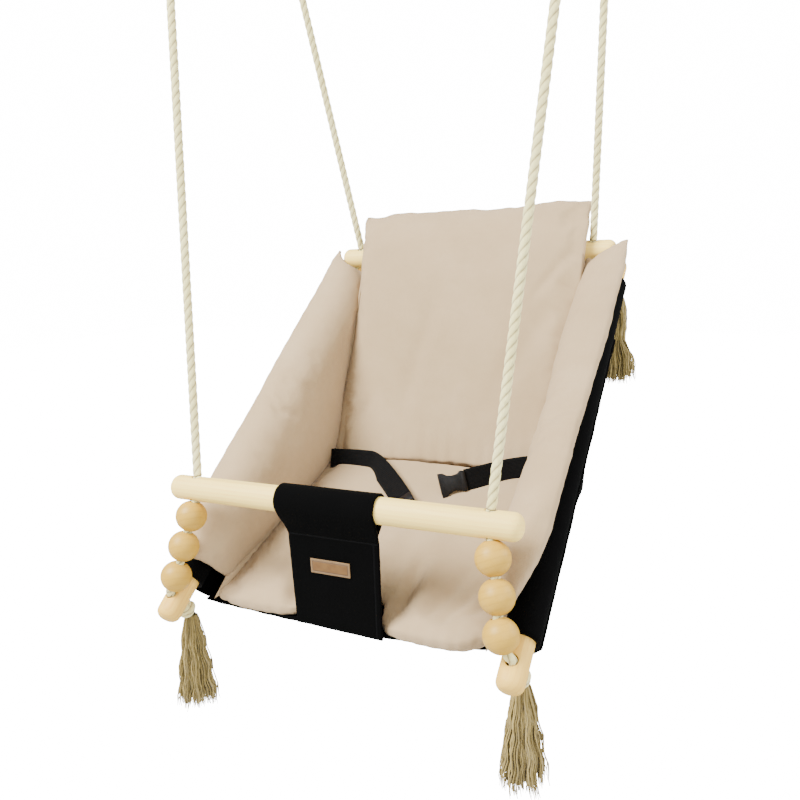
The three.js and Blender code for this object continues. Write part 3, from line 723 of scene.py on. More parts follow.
def eye_route(top, way, across):
    points = []
    for number in range(49):
        turn = math.tau * number / 48 + math.pi
        narrow = math.sqrt(max(0.5 + 0.5 * math.cos(turn), 0))
        points.append(top - way * (EYE_LENGTH / 2) * (1 - math.cos(turn))
                      + across * (EYE_WIDTH / 2) * math.sin(turn) * (0.55 + 0.45 * narrow))
    return points


free_ropes = []
for row in HOOKS:
    for name, side in SIDES.items():
        where = "%s_%s" % (row, name)
        held = hook(side, row)
        foot = bar_mouth(side, row, ROPE_CLEAR)
        way = (held - foot).normalized()
        across = Vector((0, way.z, -way.y)).normalized()
        top = held + way * (WIRE_HALF + EYE_SLIP[row] + ROPE / 2)
        knot_middle = top - way * (EYE_LENGTH + KNOT_HEIGHT * 0.4)
        rope_top = knot_middle - way * (KNOT_HEIGHT * 0.6 + GAP)
        steps = 30
        line = [foot.lerp(rope_top, number / steps) for number in range(steps + 1)]
        rope, length = rope_piece("twisted_rope_" + where, line)
        dressed(rope, cotton_rope, "rope", row + "_ropes", "rope_" + where)
        eye = rope_piece("rope_eye_" + where, eye_route(top, way, across), step=0.0018)[0]
        knot = wound_knot("rope_eye_knot_" + where, knot_middle, way, KNOT_HEIGHT * 1.2, KNOT_WIDTH, 2.6)
        core = fill_core("rope_eye_core_" + where, knot_middle, way, KNOT_HEIGHT * 1.2, KNOT_CORE)
        joined(eye, knot, core)
        dressed(eye, cotton_rope, "rope", row + "_ropes", "loop_" + where)
        [tuple(point) for point in line]
        free_ropes.append((rope.name, round(length, 4)))
print("free ropes", free_ropes)

# %% [markdown]
# Below the bars the rope goes on: from the front bar through three beads and down through the side bar, and
# from the back bar straight into the side bar. It ends in a knot against the bar's underside.

# %% Rope tails and their knots
def stopper_middle(side, along):
    return by_side_bar(side, along, -BAR / 2 - 2 * GAP - KNOT_HEIGHT / 2)


for name, side in SIDES.items():
    last = bead_middle(side, 2)
    bore = bore_way(side, 2)
    front_line = [bar_mouth(side, "front", 0), bar_hole(side, "front"), bead_middle(side, 0),
                  bead_middle(side, 1), last - bore * BEAD * 0.25, last + bore * BEAD * 0.4,
                  side_mouth(side, 0), by_side_bar(side, 0), by_side_bar(side, 0, -BAR / 2 - GAP)]
    rear_line = [bar_mouth(side, "rear", 0), bar_hole(side, "rear"), side_mouth(side, SIDE_REACH),
                 by_side_bar(side, SIDE_REACH), by_side_bar(side, SIDE_REACH, -BAR / 2 - GAP)]
    for row, along, line in (("front", 0, front_line), ("rear", SIDE_REACH, rear_line)):
        where = "%s_%s" % (row, name)
        tail = rope_piece("rope_tail_" + where, smooth_route(line))[0]
        dressed(tail, cotton_rope, "rope", "seat", "%s_rope_tail_%s" % (row, name))
        middle = stopper_middle(side, along)
        knot = wound_knot("stopper_knot_" + where, middle, ABOVE, KNOT_HEIGHT, KNOT_WIDTH, 1.9, 0.0092)
        joined(knot, fill_core("stopper_core_" + where, middle, ABOVE, KNOT_HEIGHT * 0.96, KNOT_CORE))
        dressed(knot, cotton_rope, "rope", "seat", "knot_" + where)
print("tails and knots made")

# %% [markdown]
# ## Tassels
# Under each knot the rope is combed out into yarns, which keep a crimp from the strand they were twisted in.
# Each tassel is some four hundred thin yarns in twenty-two locks. Every yarn is a tapered four-sided tube with
# its own waves, placed by a seeded random choice so that each run gives the same tassel.

# %% Frayed tassels
TASSEL_LENGTH = 0.120
TASSEL_BACK = 0.006
YARNS, LOCKS = 440, 22
YARN_STEPS = 18
LOCK_TURN = 0.382


def round_way(angle):
    return Vector((math.cos(angle), math.sin(angle), 0))


def tassel_mesh(name, top, foot_width, seed, length, waist):
    """A fan of thin yarns under top; waist says how far they are drawn in halfway down."""
    rng = random.Random(seed)
    corners, faces, maps = [], [], []
    locks = []
    for number in range(LOCKS):
        turn = math.tau * number * LOCK_TURN
        out = math.sqrt((number + 0.5) / LOCKS) + rng.uniform(-0.06, 0.06)
        locks.append((turn, min(out, 1.0), rng.uniform(0.90, 1.0), rng.uniform(0, math.tau),
                      rng.uniform(2.2, 3.6), rng.uniform(0.0006, 0.0016)))
    for number in range(YARNS):
        turn, out, long, phase, lock_waves, lock_swing = locks[number % LOCKS]
        jitter_turn, jitter = rng.uniform(0, math.tau), rng.random() ** 0.5
        towards, stray = round_way(turn), round_way(jitter_turn)
        start = towards * 0.0055 * out + stray * 0.0020 * jitter
        end = towards * (foot_width / 2 - 0.0030) * out + stray * 0.0065 * jitter
        reach = length * long * rng.uniform(0.90, 1.0)
        crimps = rng.uniform(7.0, 11.0)
        swing = rng.uniform(0.0002, 0.0005)
        own = rng.uniform(-0.6, 0.6) + phase
        thick = rng.uniform(0.0005, 0.0009)
        first = len(corners)
        line = []
        for step in range(YARN_STEPS + 1):
            share = step / YARN_STEPS
            drawn_in = 1 - waist * math.exp(-((share - 0.5) / 0.16) ** 2)
            middle = start.lerp(end, share ** 0.75) * drawn_in
            bent = lock_waves * math.tau * share + phase
            crimped = crimps * math.tau * share + own
            middle += round_way(bent) * lock_swing * min(1, share * 3)
            middle += round_way(crimped) * swing * min(1, share * 4)
            line.append(top + middle + Vector((0, 0, -reach * share)))
        for step, point in enumerate(line):
            size = thick * (1 - 0.6 * max(0, step / YARN_STEPS - 0.85) / 0.15)
            for corner in range(4):
                corners.append(point + round_way(math.tau * corner / 4 + own) * size)
        shade = number / YARNS
        for step in range(YARN_STEPS):
            at, below = first + step * 4, first + (step + 1) * 4
            near, far = (shade, step / YARN_STEPS), (shade, (step + 1) / YARN_STEPS)
            for corner in range(4):
                beside = (corner + 1) % 4
                faces.append((at + corner, below + corner, below + beside, at + beside))
                maps += [near, far, far, near]
        faces.append((first, first + 1, first + 2, first + 3))
        last = first + YARN_STEPS * 4
        faces.append((last + 3, last + 2, last + 1, last))
        maps += [(shade, 0.0)] * 4 + [(shade, 1.0)] * 4
    piece = mesh_piece(name, corners, faces)
    write_map(piece, "run_map", maps)
    return piece


def frayed_finish():
    finish, tree, shader = new_finish("frayed_cotton", Roughness=0.95, Sheen_Weight=0.2)
    yarn = maths(tree, "ROUND", maths(tree, "MULTIPLY", map_axes(tree, "run_map")["X"], float(YARNS)))
    each = node(tree, "ShaderNodeTexWhiteNoise", {"W": yarn}, noise_dimensions="1D")
    fuzz = clouds(tree, object_place(tree), 260.0, 3.0)
    shade = mixture(tree, (each.outputs["Value"], 0.6), (fuzz, 0.4))
    colour = ramp(tree, shade, (0.1, tone("6a5a28")), (0.5, tone("8a7740")), (0.95, tone("a39055")))
    tree.links.new(colour, shader.inputs["Base Color"])
    bump(tree, shader, fuzz, 0.0004, 0.6)
    return finish


frayed_cotton = frayed_finish()
tassel_seed = {"front": {"left": 11, "right": 23}, "rear": {"left": 37, "right": 41}}
for row, along, foot_width in (("front", 0, 0.048), ("rear", SIDE_REACH, 0.046)):
    for name, side in SIDES.items():
        node_name = "tassel_%s_%s" % (row, name)
        top = stopper_middle(side, along) + Vector((0, TASSEL_BACK, -KNOT_WIDTH / 2 + 6 * GAP))
        length = TASSEL_LENGTH * (0.94 if (row, name) == ("front", "right") else 1)
        waist = 0.45 if (row, name) == ("rear", "right") else 0.0
        tassel = tassel_mesh("frayed_" + node_name, top, foot_width, tassel_seed[row][name], length, waist)
        dressed(tassel, frayed_cotton, "rope", node_name + "_body", node_name)
print("tassel corners", len(tassel.data.vertices))

# %% [markdown]
# ## Cloth finishes
# Two cloths make the seat: a black canvas and a fine beige cotton over wadding. Both are plain weaves, so both
# use the same woven-thread group at their own thread count. The weave reads a UV map that runs over each cloth
# in metres, so its threads keep their size and follow the folds.

# %% Cotton and canvas
def seam_groove(tree):
    """1 along a sewn seam and 0 away from it, read from how far the seam is at each corner."""
    away = node(tree, "ShaderNodeAttribute", attribute_name="seam_away").outputs["Fac"]
    return fading(tree, maths(tree, "ABSOLUTE", away), 0.0, 0.0016, interpolation_type="SMOOTHSTEP")


def cloth_finish(name, dark, mid, light, seam_shade_and_thread, threads, slub, depth, rough, sheen, shine):
    finish, tree, shader = new_finish(name, Roughness=rough, Sheen_Weight=sheen, Specular_IOR_Level=shine,
                                      Sheen_Roughness=0.5)
    surface = node(tree, "ShaderNodeUVMap", uv_map="cloth_map").outputs[0]
    weave = use_group(tree, weave_group, Surface=surface, Threads_per_metre=threads, Slub=slub)
    place = object_place(tree)
    drift, rumple = clouds(tree, place, 9.0, 3.0), clouds(tree, place, 38.0, 4.0)
    shade = mixture(tree, (weave["Shade"], 0.34), (drift, 0.5), (rumple, 0.22))
    colour = ramp(tree, shade, (0.2, tone(dark)), (0.5, tone(mid)), (0.8, tone(light)))
    groove = seam_groove(tree)
    # Along the seams the beige cotton gets painted shade in dark brown, where the pads meet in a crease; on the
    # canvas the same mask lays a slightly lighter stitch thread.
    sewn = painted(tree, maths(tree, "MULTIPLY", groove, 0.55), colour, (*tone(seam_shade_and_thread), 1))
    tree.links.new(sewn, shader.inputs["Base Color"])
    height = mixture(tree, (weave["Height"], 0.5), (rumple, 2.2))
    bump(tree, shader, maths(tree, "SUBTRACT", height, maths(tree, "MULTIPLY", groove, 2.4)), depth, 0.7)
    return finish


# The beige cotton's seam colour is painted shade; the canvas's seam colour is its stitch thread.
beige_cotton = cloth_finish("beige_cotton", "a08865", "ac9471", "b8a180", seam_shade_and_thread="54422a", threads=1500.0,
                            slub=0.3, depth=0.0005, rough=0.86, sheen=0.12, shine=0.22)
black_canvas = cloth_finish("black_canvas", "000000", "010101", "020202", seam_shade_and_thread="101011", threads=900.0,
                            slub=0.45, depth=0.0006, rough=0.92, sheen=0.0, shine=0.05)
print("cloth finishes", beige_cotton.name, black_canvas.name)

# %% Sheets and pads over a grid
def mark_seam(piece, away):
    """Stores how far each corner lies from the nearest sewn seam, for the cloth finish."""
    layer = piece.data.attributes.new("seam_away", "FLOAT", "POINT")
    layer.data.foreach_set("value", [away(corner.co) for corner in piece.data.vertices])
    return piece


def grid_points(middle, columns, rows):
    return [[middle(across / columns, along / rows) for across in range(columns + 1)]
            for along in range(rows + 1)]


def cloth_sheet(name, middle, columns, rows, thickness, wrinkle=None, seam_away=None):
    """A single sheet over a grid, given its thickness by a Solidify modifier."""
    grid = grid_points(middle, columns, rows)
    corners = [corner for row in grid for corner in row]
    wide = columns + 1
    faces = [(row * wide + column, row * wide + column + 1, (row + 1) * wide + column + 1,
              (row + 1) * wide + column) for row in range(rows) for column in range(columns)]
    piece = mesh_piece(name, corners, faces)
    if wrinkle:
        normals = [corner.normal.copy() for corner in piece.data.vertices]
        for number, corner in enumerate(piece.data.vertices):
            u, v = (number % wide) / columns, (number // wide) / rows
            corner.co += normals[number] * wrinkle(u, v)
    width = sum((grid[rows // 2][column + 1] - grid[rows // 2][column]).length for column in range(columns))
    length = sum((grid[row + 1][columns // 2] - grid[row][columns // 2]).length for row in range(rows))
    write_map(piece, "cloth_map", [((corner % wide) / columns * width, (corner // wide) / rows * length)
                                   for face in faces for corner in face])
    with_modifier(piece, "SOLIDIFY", thickness=thickness, offset=0.0, use_even_offset=False)
    mark_seam(piece, seam_away or (lambda place: 1.0))
    return piece, (width, length)


def smooth_line(pairs):
    """A smooth line in the side view of the seat, as at(share) and its length."""
    route = smooth_route([Vector((0, along, above)) for along, above in pairs])
    runs = runs_along(route)

    def at(share):
        want = min(max(share, 0), 1) * runs[-1]
        place = 0
        while place < len(route) - 2 and runs[place + 1] < want:
            place += 1
        part = (want - runs[place]) / max(runs[place + 1] - runs[place], 1e-9)
        return route[place].lerp(route[place + 1], min(max(part, 0), 1))
    return at, runs[-1]


def in_metres(pairs):
    return [(along / 1000, above / 1000) for along, above in pairs]


seat_at, SEAT_RUN = smooth_line(in_metres([(15, -15), (38, -31), (70, -43), (160, -72), (293, -115)]))
back_at, BACK_RUN = smooth_line(in_metres([(295.5, -115), (380, -57), (460, -1), (528, 47), (562, 66), (600, 70)]))
sling_at, SLING_RUN = smooth_line(in_metres([
    (12, -23), (36, -46.5), (70, -60.5), (160, -88.5), (268, -122), (290, -130), (309, -125.5), (390.5, -68.5),
    (471, -12), (538.7, 36.6)]))
wing_foot_at = smooth_line(in_metres([
    (50, -26), (70, -32), (160, -62), (292, -102), (390, -42), (470, 2), (536, 25)]))[0]
print("seat pad", round(SEAT_RUN, 3), "back pad", round(BACK_RUN, 3), "sling", round(SLING_RUN, 3))


# %% [markdown]
# ## Padded insert
# The seat, the back and the two wings are separate pads, sewn together along their edges. Each one starts as a
# closed, slightly crowned form a little thinner than the real pad. It is remeshed evenly, and a short cloth
# simulation with air pressure inside blows it up against its sewn rim. Growing the cloth by a few parts in a
# hundred gives it the slack that folds near the seams. The simulated shape is kept within a few millimetres of
# its start, so that the pads still meet.

# %% Pad shapes
PAD_HALF = 0.170


def soft_step(low, high, value):
    share = min(max((value - low) / (high - low), 0), 1)
    return share * share * (3 - 2 * share)


def crown(u, v, joined_at):
    """How full a pad is: thin at its rim, but nearly full where it is folded against the next pad."""
    fall = 0.35 if joined_at is not None and abs(v - joined_at) < 0.5 else 1.0
    return math.sqrt(max(1 - abs(2 * u - 1) ** 6, 0) * max(1 - fall * abs(2 * v - 1) ** 8, 0))


def pad_form(name, middle, thickness, rim, columns, rows, joined_at=None):
    """A closed form on both sides of a middle surface, thick in its field and thin at its rim."""
    nudge = 0.002
    corners, faces = [], []
    for way in (-1, 1):
        for row in range(rows + 1):
            for column in range(columns + 1):
                u, v = column / columns, row / rows
                du = middle(min(u + nudge, 1), v) - middle(max(u - nudge, 0), v)
                dv = middle(u, min(v + nudge, 1)) - middle(u, max(v - nudge, 0))
                lift = du.cross(dv).normalized()
                half = (rim + (thickness - rim) * crown(u, v, joined_at)) / 2
                corners.append(middle(u, v) + lift * half * way)
    wide, block = columns + 1, (columns + 1) * (rows + 1)

    def spot(side, column, row):
        return side * block + row * wide + column

    for row in range(rows):
        for column in range(columns):
            faces.append((spot(1, column, row), spot(1, column + 1, row), spot(1, column + 1, row + 1),
                          spot(1, column, row + 1)))
            faces.append((spot(0, column, row), spot(0, column, row + 1), spot(0, column + 1, row + 1),
                          spot(0, column + 1, row)))
    for column in range(columns):
        faces.append((spot(0, column, 0), spot(0, column + 1, 0), spot(1, column + 1, 0), spot(1, column, 0)))
        faces.append((spot(0, column + 1, rows), spot(0, column, rows), spot(1, column, rows),
                      spot(1, column + 1, rows)))
    for row in range(rows):
        faces.append((spot(0, 0, row + 1), spot(0, 0, row), spot(1, 0, row), spot(1, 0, row + 1)))
        faces.append((spot(0, columns, row), spot(0, columns, row + 1), spot(1, columns, row + 1),
                      spot(1, columns, row)))
    piece = mesh_piece(name, corners, faces)
    only(piece)
    bpy.ops.object.mode_set(mode="EDIT")
    faces_outwards()
    return piece


NOTCH_HALF, NOTCH_HALF_RIGHT, NOTCH_DEPTH = 0.045, 0.034, 0.044


def hem_start(across):
    """How far the front hem draws back: a notch in the middle and a rounded lobe on each side of it."""
    notch = NOTCH_HALF if across < 0 else NOTCH_HALF_RIGHT
    inside = 1 / (1 + math.exp(min((abs(across) - notch) / 0.005, 60)))
    lobe = (2 * abs(across) - PAD_HALF - NOTCH_HALF) / (PAD_HALF - NOTCH_HALF)
    plain, outer, inner = (0.003, 0.008, 0.009) if across < 0 else (0.0, 0.030, 0.008)
    return min(NOTCH_DEPTH * inside + plain + outer * max(lobe, 0) ** 3 + inner * min(lobe, 0) ** 4, NOTCH_DEPTH)


def seat_middle(u, v):
    across = (2 * u - 1) * PAD_HALF
    start = hem_start(across) / SEAT_RUN
    place = seat_at(start + (1 - start) * v)
    return seat(across, place.y, place.z)


def back_half(v):
    return PAD_HALF - 0.0070 * soft_step(0.05, 0.45, v)


def drawn_right(along):
    """The insert lies a few millimetres to the right of the middle behind the child's back."""
    return 0.006 * soft_step(0.33, 0.48, along) * (1 - soft_step(0.565, 0.59, along))


def back_middle(u, v):
    place = back_at(v)
    skew = u * v ** 14
    across = (2 * u - 1) * back_half(v) + drawn_right(place.y) - 0.003 * (1 - u) * soft_step(0.85, 1, v)
    return seat(across + 0.005 * skew, place.y + 0.010 * skew, place.z)


def wing_low_across(side, v, along):
    """The wing's lower edge follows the sides of the seat and of the back."""
    return side * (0.1755 - CONVERGE * v) + drawn_right(along) * (1.0 if side < 0 else 0.3)


WING_FRONT, WING_BACK = 0.042, 0.537
WING_OUT, WING_ABOVE = 0.218, 0.034


def wing_middle(side):
    """From the foot seam up and over to the side bar's height, as one bent curve at each place along."""
    def middle(u, v):
        foot = wing_foot_at(v)
        along = WING_FRONT + (WING_BACK - WING_FRONT) * v
        nearer = CONVERGE * v * (1 - v ** 4)
        right_top = soft_step(0.86, 1, v) if side > 0 else 0.0
        low = seat(wing_low_across(side, v, foot.y) - 0.003 * right_top, foot.y, foot.z - 0.001 + 0.017 * right_top)
        tip = max(1 - 5 * v, 0) ** 2
        draw_in = 0.159 + 0.023 * v ** 4 - nearer * 1.15 + 0.024 * tip
        bend = seat(side * draw_in, (foot.y * 2 + along) / 3, (foot.z * 2 + WING_ABOVE) / 3)
        rise = seat(side * draw_in, (foot.y + along * 2) / 3, 0.048 - 0.024 * tip)
        wider = 0.005 * soft_step(0.55, 0.85, v) * (1 - soft_step(0.9, 1, v)) if side > 0 else 0.0
        edge = seat(side * (WING_OUT - 0.024 * tip) + wider, along, WING_ABOVE - 0.012 * tip)
        up = u if side > 0 else 1 - u
        horn = 0.034 * v ** 8 * up ** (4 if side > 0 else 8)
        point = (low * (1 - up) ** 3 + bend * 3 * up * (1 - up) ** 2 + rise * 3 * up * up * (1 - up)
                 + edge * up ** 3)
        return point + ALONG * horn
    return middle


def seam_strip(name, inner_at, outer_at):
    """A narrow tape behind the seam between two pads, where their edges are sewn together."""
    return cloth_sheet(name, lambda u, v: inner_at(v).lerp(outer_at(v), u), 2, 70, 0.0012)[0]


# %% Blowing up a pad
PAD_VOXEL, PAD_PRESSURE, BLOWN_FRAMES = 0.0046, 4.0, 20


def puffed(piece, cap, slack, rim_hold):
    """Remesh, blow up with Cloth, and keep every point within cap of where it started."""
    only(piece)
    piece.data.remesh_voxel_size = PAD_VOXEL
    bpy.ops.object.voxel_remesh()
    start = [corner.co.copy() for corner in piece.data.vertices]
    hold = piece.vertex_groups.new(name="sewn_rim")
    for number, corner in enumerate(start):
        hold.add([number], rim_hold(corner), "REPLACE")
    cloth = piece.modifiers.new("blown", "CLOTH")
    settings = cloth.settings
    settings.quality = 4
    settings.mass = 0.25
    settings.tension_stiffness = 20
    settings.compression_stiffness = 8
    settings.shear_stiffness = 6
    settings.bending_stiffness = 0.6
    settings.use_pressure = True
    settings.uniform_pressure_force = PAD_PRESSURE
    settings.shrink_min = -slack
    settings.vertex_group_mass = "sewn_rim"
    settings.effector_weights.gravity = 0
    cloth.collision_settings.use_collision = False
    cloth.point_cache.frame_start, cloth.point_cache.frame_end = 1, BLOWN_FRAMES
    for number in range(1, BLOWN_FRAMES + 1):
        bpy.context.scene.frame_set(number)
    blown = piece.evaluated_get(bpy.context.evaluated_depsgraph_get())
    moved = [corner.co.copy() for corner in blown.to_mesh().vertices]
    blown.to_mesh_clear()
    piece.modifiers.remove(cloth)
    bpy.context.scene.frame_set(1)
    most = 0.0
    for corner, before, after in zip(piece.data.vertices, start, moved):
        shift = after - before
        most = max(most, shift.length)
        corner.co = before + shift * (cap / shift.length if shift.length > cap else 1)
    piece.vertex_groups.clear()
    print(piece.name, len(start), "corners, furthest move", round(most * 1000, 1), "mm")
    with_modifier(piece, "SMOOTH", factor=0.5, iterations=2)
    return piece


def seat_place(point):
    """The inverse of seat(): across, along and above of a point in the frame."""
    away = point - SEAT_START
    return away.x, away.dot(ALONG), away.dot(ABOVE)


def puckered(piece, depth_at):
    """Moves each point along its normal by depth_at(across, along, above)."""
    normals = [corner.normal.copy() for corner in piece.data.vertices]
    for corner, normal in zip(piece.data.vertices, normals):
        corner.co += normal * depth_at(*seat_place(corner.co))
    return piece


def waves(run, spacing, seed):
    """Uneven small waves along a sewn edge, about a spacing apart."""
    bend = noise.noise(Vector((run * 30, seed, 0.0)))
    return math.sin(math.tau * run / spacing + 2.2 * bend) * (0.55 + 0.45 * noise.noise(Vector((run * 55, 0, seed))))


def fold(point, start, end, width, depth):
    """A long soft crease between two places on a pad."""
    way = end - start
    along = min(max((point - start).dot(way) / way.length_squared, 0), 1)
    off = (point - (start + way * along)).length
    fade = math.sin(math.pi * min(max(along, 0.02), 0.98)) ** 0.6
    return depth * fade * math.exp(-(off / width) ** 2)


def creased(point, folds):
    """All of a pad's creases at a point, each given by its two ends, its width and its depth."""
    return sum(fold(point, Vector(start).to_3d(), Vector(end).to_3d(), width, depth)
               for start, end, width, depth in folds)


def mapped_cloth(piece, across_way, along_way):
    places = [(corner.co.dot(across_way), corner.co.dot(along_way)) for corner in piece.data.vertices]
    write_map(piece, "cloth_map", [places[corner] for face in piece.data.polygons for corner in face.vertices])
    return piece


def finished_pad(piece, node_name, across_way, along_way, seam_away=None, strips=()):
    with_modifier(piece, "SUBSURF", levels=1, render_levels=1)
    mapped_cloth(piece, across_way, along_way)
    mark_seam(piece, seam_away or (lambda place: 1.0))
    if strips:
        joined(piece, *strips)
    piece.data.polygons.foreach_set("use_smooth", [True] * len(piece.data.polygons))
    dressed(piece, beige_cotton, "beige_cotton", "seat", node_name)
    return piece


# %% [markdown]
# The folds that the eye knows a padded seat by are then pressed in. Small puckers run along each sewn edge,
# where the thread draws the cloth together, and a few long soft creases lie where the photograph shows them.
# The creases are kept in short lists of places, so that one can be moved without touching the pad's form.

# %% Seat pad
SEAT_FOLDS = [
    ((-0.160, 0.125), (-0.052, 0.032), 0.010, -0.0040), ((-0.092, 0.105), (-0.060, 0.022), 0.008, -0.0065),
    ((-0.104, 0.100), (-0.082, 0.020), 0.008, 0.0025), ((-0.052, 0.14), (-0.068, 0.055), 0.008, -0.0035),
    ((0.160, 0.12), (0.085, 0.04), 0.010, -0.0030), ((0.052, 0.125), (0.062, 0.045), 0.009, -0.0090),
    ((0.070, 0.125), (0.080, 0.045), 0.009, 0.0030), ((0.118, 0.120), (0.090, 0.035), 0.010, -0.0060),
    ((0.132, 0.090), (0.108, 0.035), 0.007, -0.0050), ((0.020, 0.19), (0.030, 0.07), 0.013, -0.0025),
    ((0.055, 0.160), (0.135, 0.150), 0.032, -0.0055), ((0.050, 0.060), (0.125, 0.072), 0.020, 0.0025)]


def seat_pad_dents(across, along, above):
    rim = math.exp(-max(PAD_HALF - abs(across), 0) / 0.016)
    side_pucker = 0.0011 * rim * waves(along, 0.015, 1.0 + across)
    hem = math.exp(-max(along - 0.02, 0) / 0.022)
    front_pucker = 0.0009 * hem * waves(across, 0.017, 5.0)
    soft = 0.0018 * noise.noise(Vector((across * 17, along * 13, 2.0)))
    return side_pucker + front_pucker + creased(Vector((across, along, 0)), SEAT_FOLDS) + soft


def near_rim(reach):
    def hold(point):
        across = abs(seat_place(point)[0])
        return soft_step(reach - 0.012, reach - 0.001, across)
    return hold


def side_seam(place):
    """The sides of the seat and the back are sewn to the wings, up to where the back stands free."""
    across, along, above = seat_place(place)
    if along > 0.53 or along < 0.03:
        return 1.0
    half = PAD_HALF if along < 0.29 else back_half((along - 0.2955) / 0.305)
    return max(half - abs(across - drawn_right(along)), 0) * 0.5


seat_pad = pad_form("padded_seat", seat_middle, thickness=0.022, rim=0.010, columns=40, rows=30, joined_at=1)
puffed(seat_pad, cap=0.006, slack=0.03, rim_hold=near_rim(PAD_HALF))
puckered(seat_pad, seat_pad_dents)
foot_seam = seam_strip("seat_back_seam", lambda v: seat((2 * v - 1) * 0.168, 0.286, -0.1145),
                       lambda v: seat((2 * v - 1) * 0.168, 0.302, -0.1115))
finished_pad(seat_pad, "seat_pad", ACROSS, ALONG, side_seam, [foot_seam])
print("seat pad", len(seat_pad.data.polygons), "faces")


# %% Back pad
BACK_FOLDS = [
    ((0.158, 0.53), (0.105, 0.47), 0.006, -0.0035), ((0.158, 0.50), (0.060, 0.36), 0.016, -0.004),
    ((-0.158, 0.53), (-0.070, 0.585), 0.010, -0.0025), ((-0.020, 0.50), (-0.070, 0.33), 0.013, -0.003),
    ((-0.158, 0.31), (-0.110, 0.36), 0.007, -0.003)]


def back_pad_dents(across, along, above):
    rim = math.exp(-max(PAD_HALF - abs(across), 0) / 0.02)
    side_pucker = 0.0010 * rim * waves(along, 0.017, 9.0 + across) * (1 - soft_step(0.50, 0.54, along))
    foot_pucker = 0.0013 * math.exp(-max(along - 0.30, 0) / 0.02) * waves(across, 0.021, 3.0)
    top_pucker = 0.0006 * soft_step(0.565, 0.59, along) * waves(across, 0.024, 13.0)
    soft = 0.0022 * noise.noise(Vector((across * 12, along * 10, 7.0)))
    creases = creased(Vector((across, along, 0)), BACK_FOLDS)
    return side_pucker + foot_pucker + top_pucker + creases + soft


back_pad = pad_form("padded_back", back_middle, thickness=0.019, rim=0.009, columns=36, rows=34, joined_at=0)
puffed(back_pad, cap=0.006, slack=0.025, rim_hold=near_rim(PAD_HALF - 0.004))
puckered(back_pad, back_pad_dents)
finished_pad(back_pad, "back_pad", ACROSS, ALONG, side_seam)
print("back pad", len(back_pad.data.polygons), "faces")

# %% Side wings
RIGHT_WING_FOLDS = [((0.172, 0.14, 0.01), (0.212, 0.10, 0.03), 0.004, -0.0030),
                    ((0.172, 0.08, -0.01), (0.200, 0.06, 0.02), 0.005, -0.0030)]

for name, side in SIDES.items():
    wing_folds = [((side * 0.166, 0.17, 0.0), (side * 0.195, 0.05, 0.03), 0.008, -0.003),
                  ((side * 0.17, 0.42, 0.02), (side * 0.20, 0.22, 0.04), 0.012, -0.0025)]
    if side > 0:
        wing_folds += RIGHT_WING_FOLDS

    def wing_dents(across, along, above, side=side, folds=wing_folds):
        low = math.exp(-abs(above + 0.02) / 0.03) * math.exp(-max(0.186 - abs(across), 0) / 0.03)
        edge = math.exp(-abs(above - 0.036) / 0.010)
        pucker = 0.0008 * low * waves(along, 0.018, 4.0 + side)
        pucker += 0.0007 * edge * waves(along, 0.030, 8.0 + side)
        soft = 0.0014 * noise.noise(Vector((above * 18, along * 12, 12.0 + side)))
        return pucker + creased(Vector((across, along, above)), folds) + soft

    def wing_hold(point, side=side):
        above = seat_place(point)[2]
        return 0.0 if above > 0.01 else 0.6 * (1 - soft_step(0.0, 0.010, above + 0.010))

    def seat_side(v, side=side):
        place = seat_at(v)
        return seat(side * (PAD_HALF - 0.003), place.y, place.z)

    def back_side(v, side=side):
        place = back_at(v * 0.80)
        return seat(side * (back_half(v * 0.80) - 0.003) + drawn_right(place.y), place.y, place.z)

    def wing_low(first, last, side=side):
        def at(v):
            share = first + (last - first) * v
            foot = wing_foot_at(share)
            return seat(wing_low_across(side, share, foot.y) - side * 0.001, foot.y, foot.z + 0.002)
        return at

    strips = [seam_strip("seat_wing_seam_" + name, seat_side, wing_low(0.0, 0.50)),
              seam_strip("back_wing_seam_" + name, back_side, wing_low(0.50, 0.97))]
    wing = pad_form("padded_wing_" + name, wing_middle(side), thickness=0.0155, rim=0.008, columns=26, rows=44)
    puffed(wing, cap=0.005, slack=0.02, rim_hold=wing_hold)
    puckered(wing, wing_dents)
    finished_pad(wing, "wing_pad_" + name, ABOVE, ALONG, None, strips)
print("wings", len(wing.data.polygons), "faces each")

# %% [markdown]
# ## Canvas
# One piece of black canvas is folded round each side bar and hangs between them. It shows as a sling under the
# pads, as a wing up each side, and as sleeves round the bars. The sling and the wings are sheets over a grid
# with their real thickness, and the sleeves are tubes with an inner and an outer skin. The folds come from
# small waves, because a canvas this tight has no deep ones.

# %% Sling, wings and sleeves
CANVAS = 0.003
SLEEVE, BACK_SLEEVE, SLEEVE_BORE = 0.019, 0.018, BAR / 2 + 0.0006
SLEEVE_START, SLEEVE_END, BACK_SLEEVE_HALF = 0.026, 0.528, 0.156


def sling_half(share):
    """Half the sling's width: flared at the front hem and drawn in behind the back bar."""
    flare = 0.008 * max(1 - share * 2.6, 0) ** 1.5
    return 0.1844 + flare - 0.022 * soft_step(0.83, 0.9, share) - CONVERGE * share ** 1.5


def sling_middle(u, v):
    retreat = 0.022 * (2 * u - 1) ** 2 + 0.044 * max(2 * u - 1, 0) ** 3
    share = retreat + (1 - retreat) * v
    place = sling_at(share)
    return seat((2 * u - 1) * sling_half(share), place.y, place.z)


def sling_wrinkle(u, v):
    hem = math.exp(-min(v, 1 - v) / 0.03)
    return 0.0006 * waves(u * 0.36, 0.03, 2.0) * hem + 0.0009 * noise.noise(Vector((u * 5, v * 8, 1.0)))


sling, sling_flat = cloth_sheet("canvas_sling", sling_middle, 60, 110, CANVAS * 0.9, sling_wrinkle)
dressed(sling, black_canvas, "black_canvas", "seat", "sling_canvas")


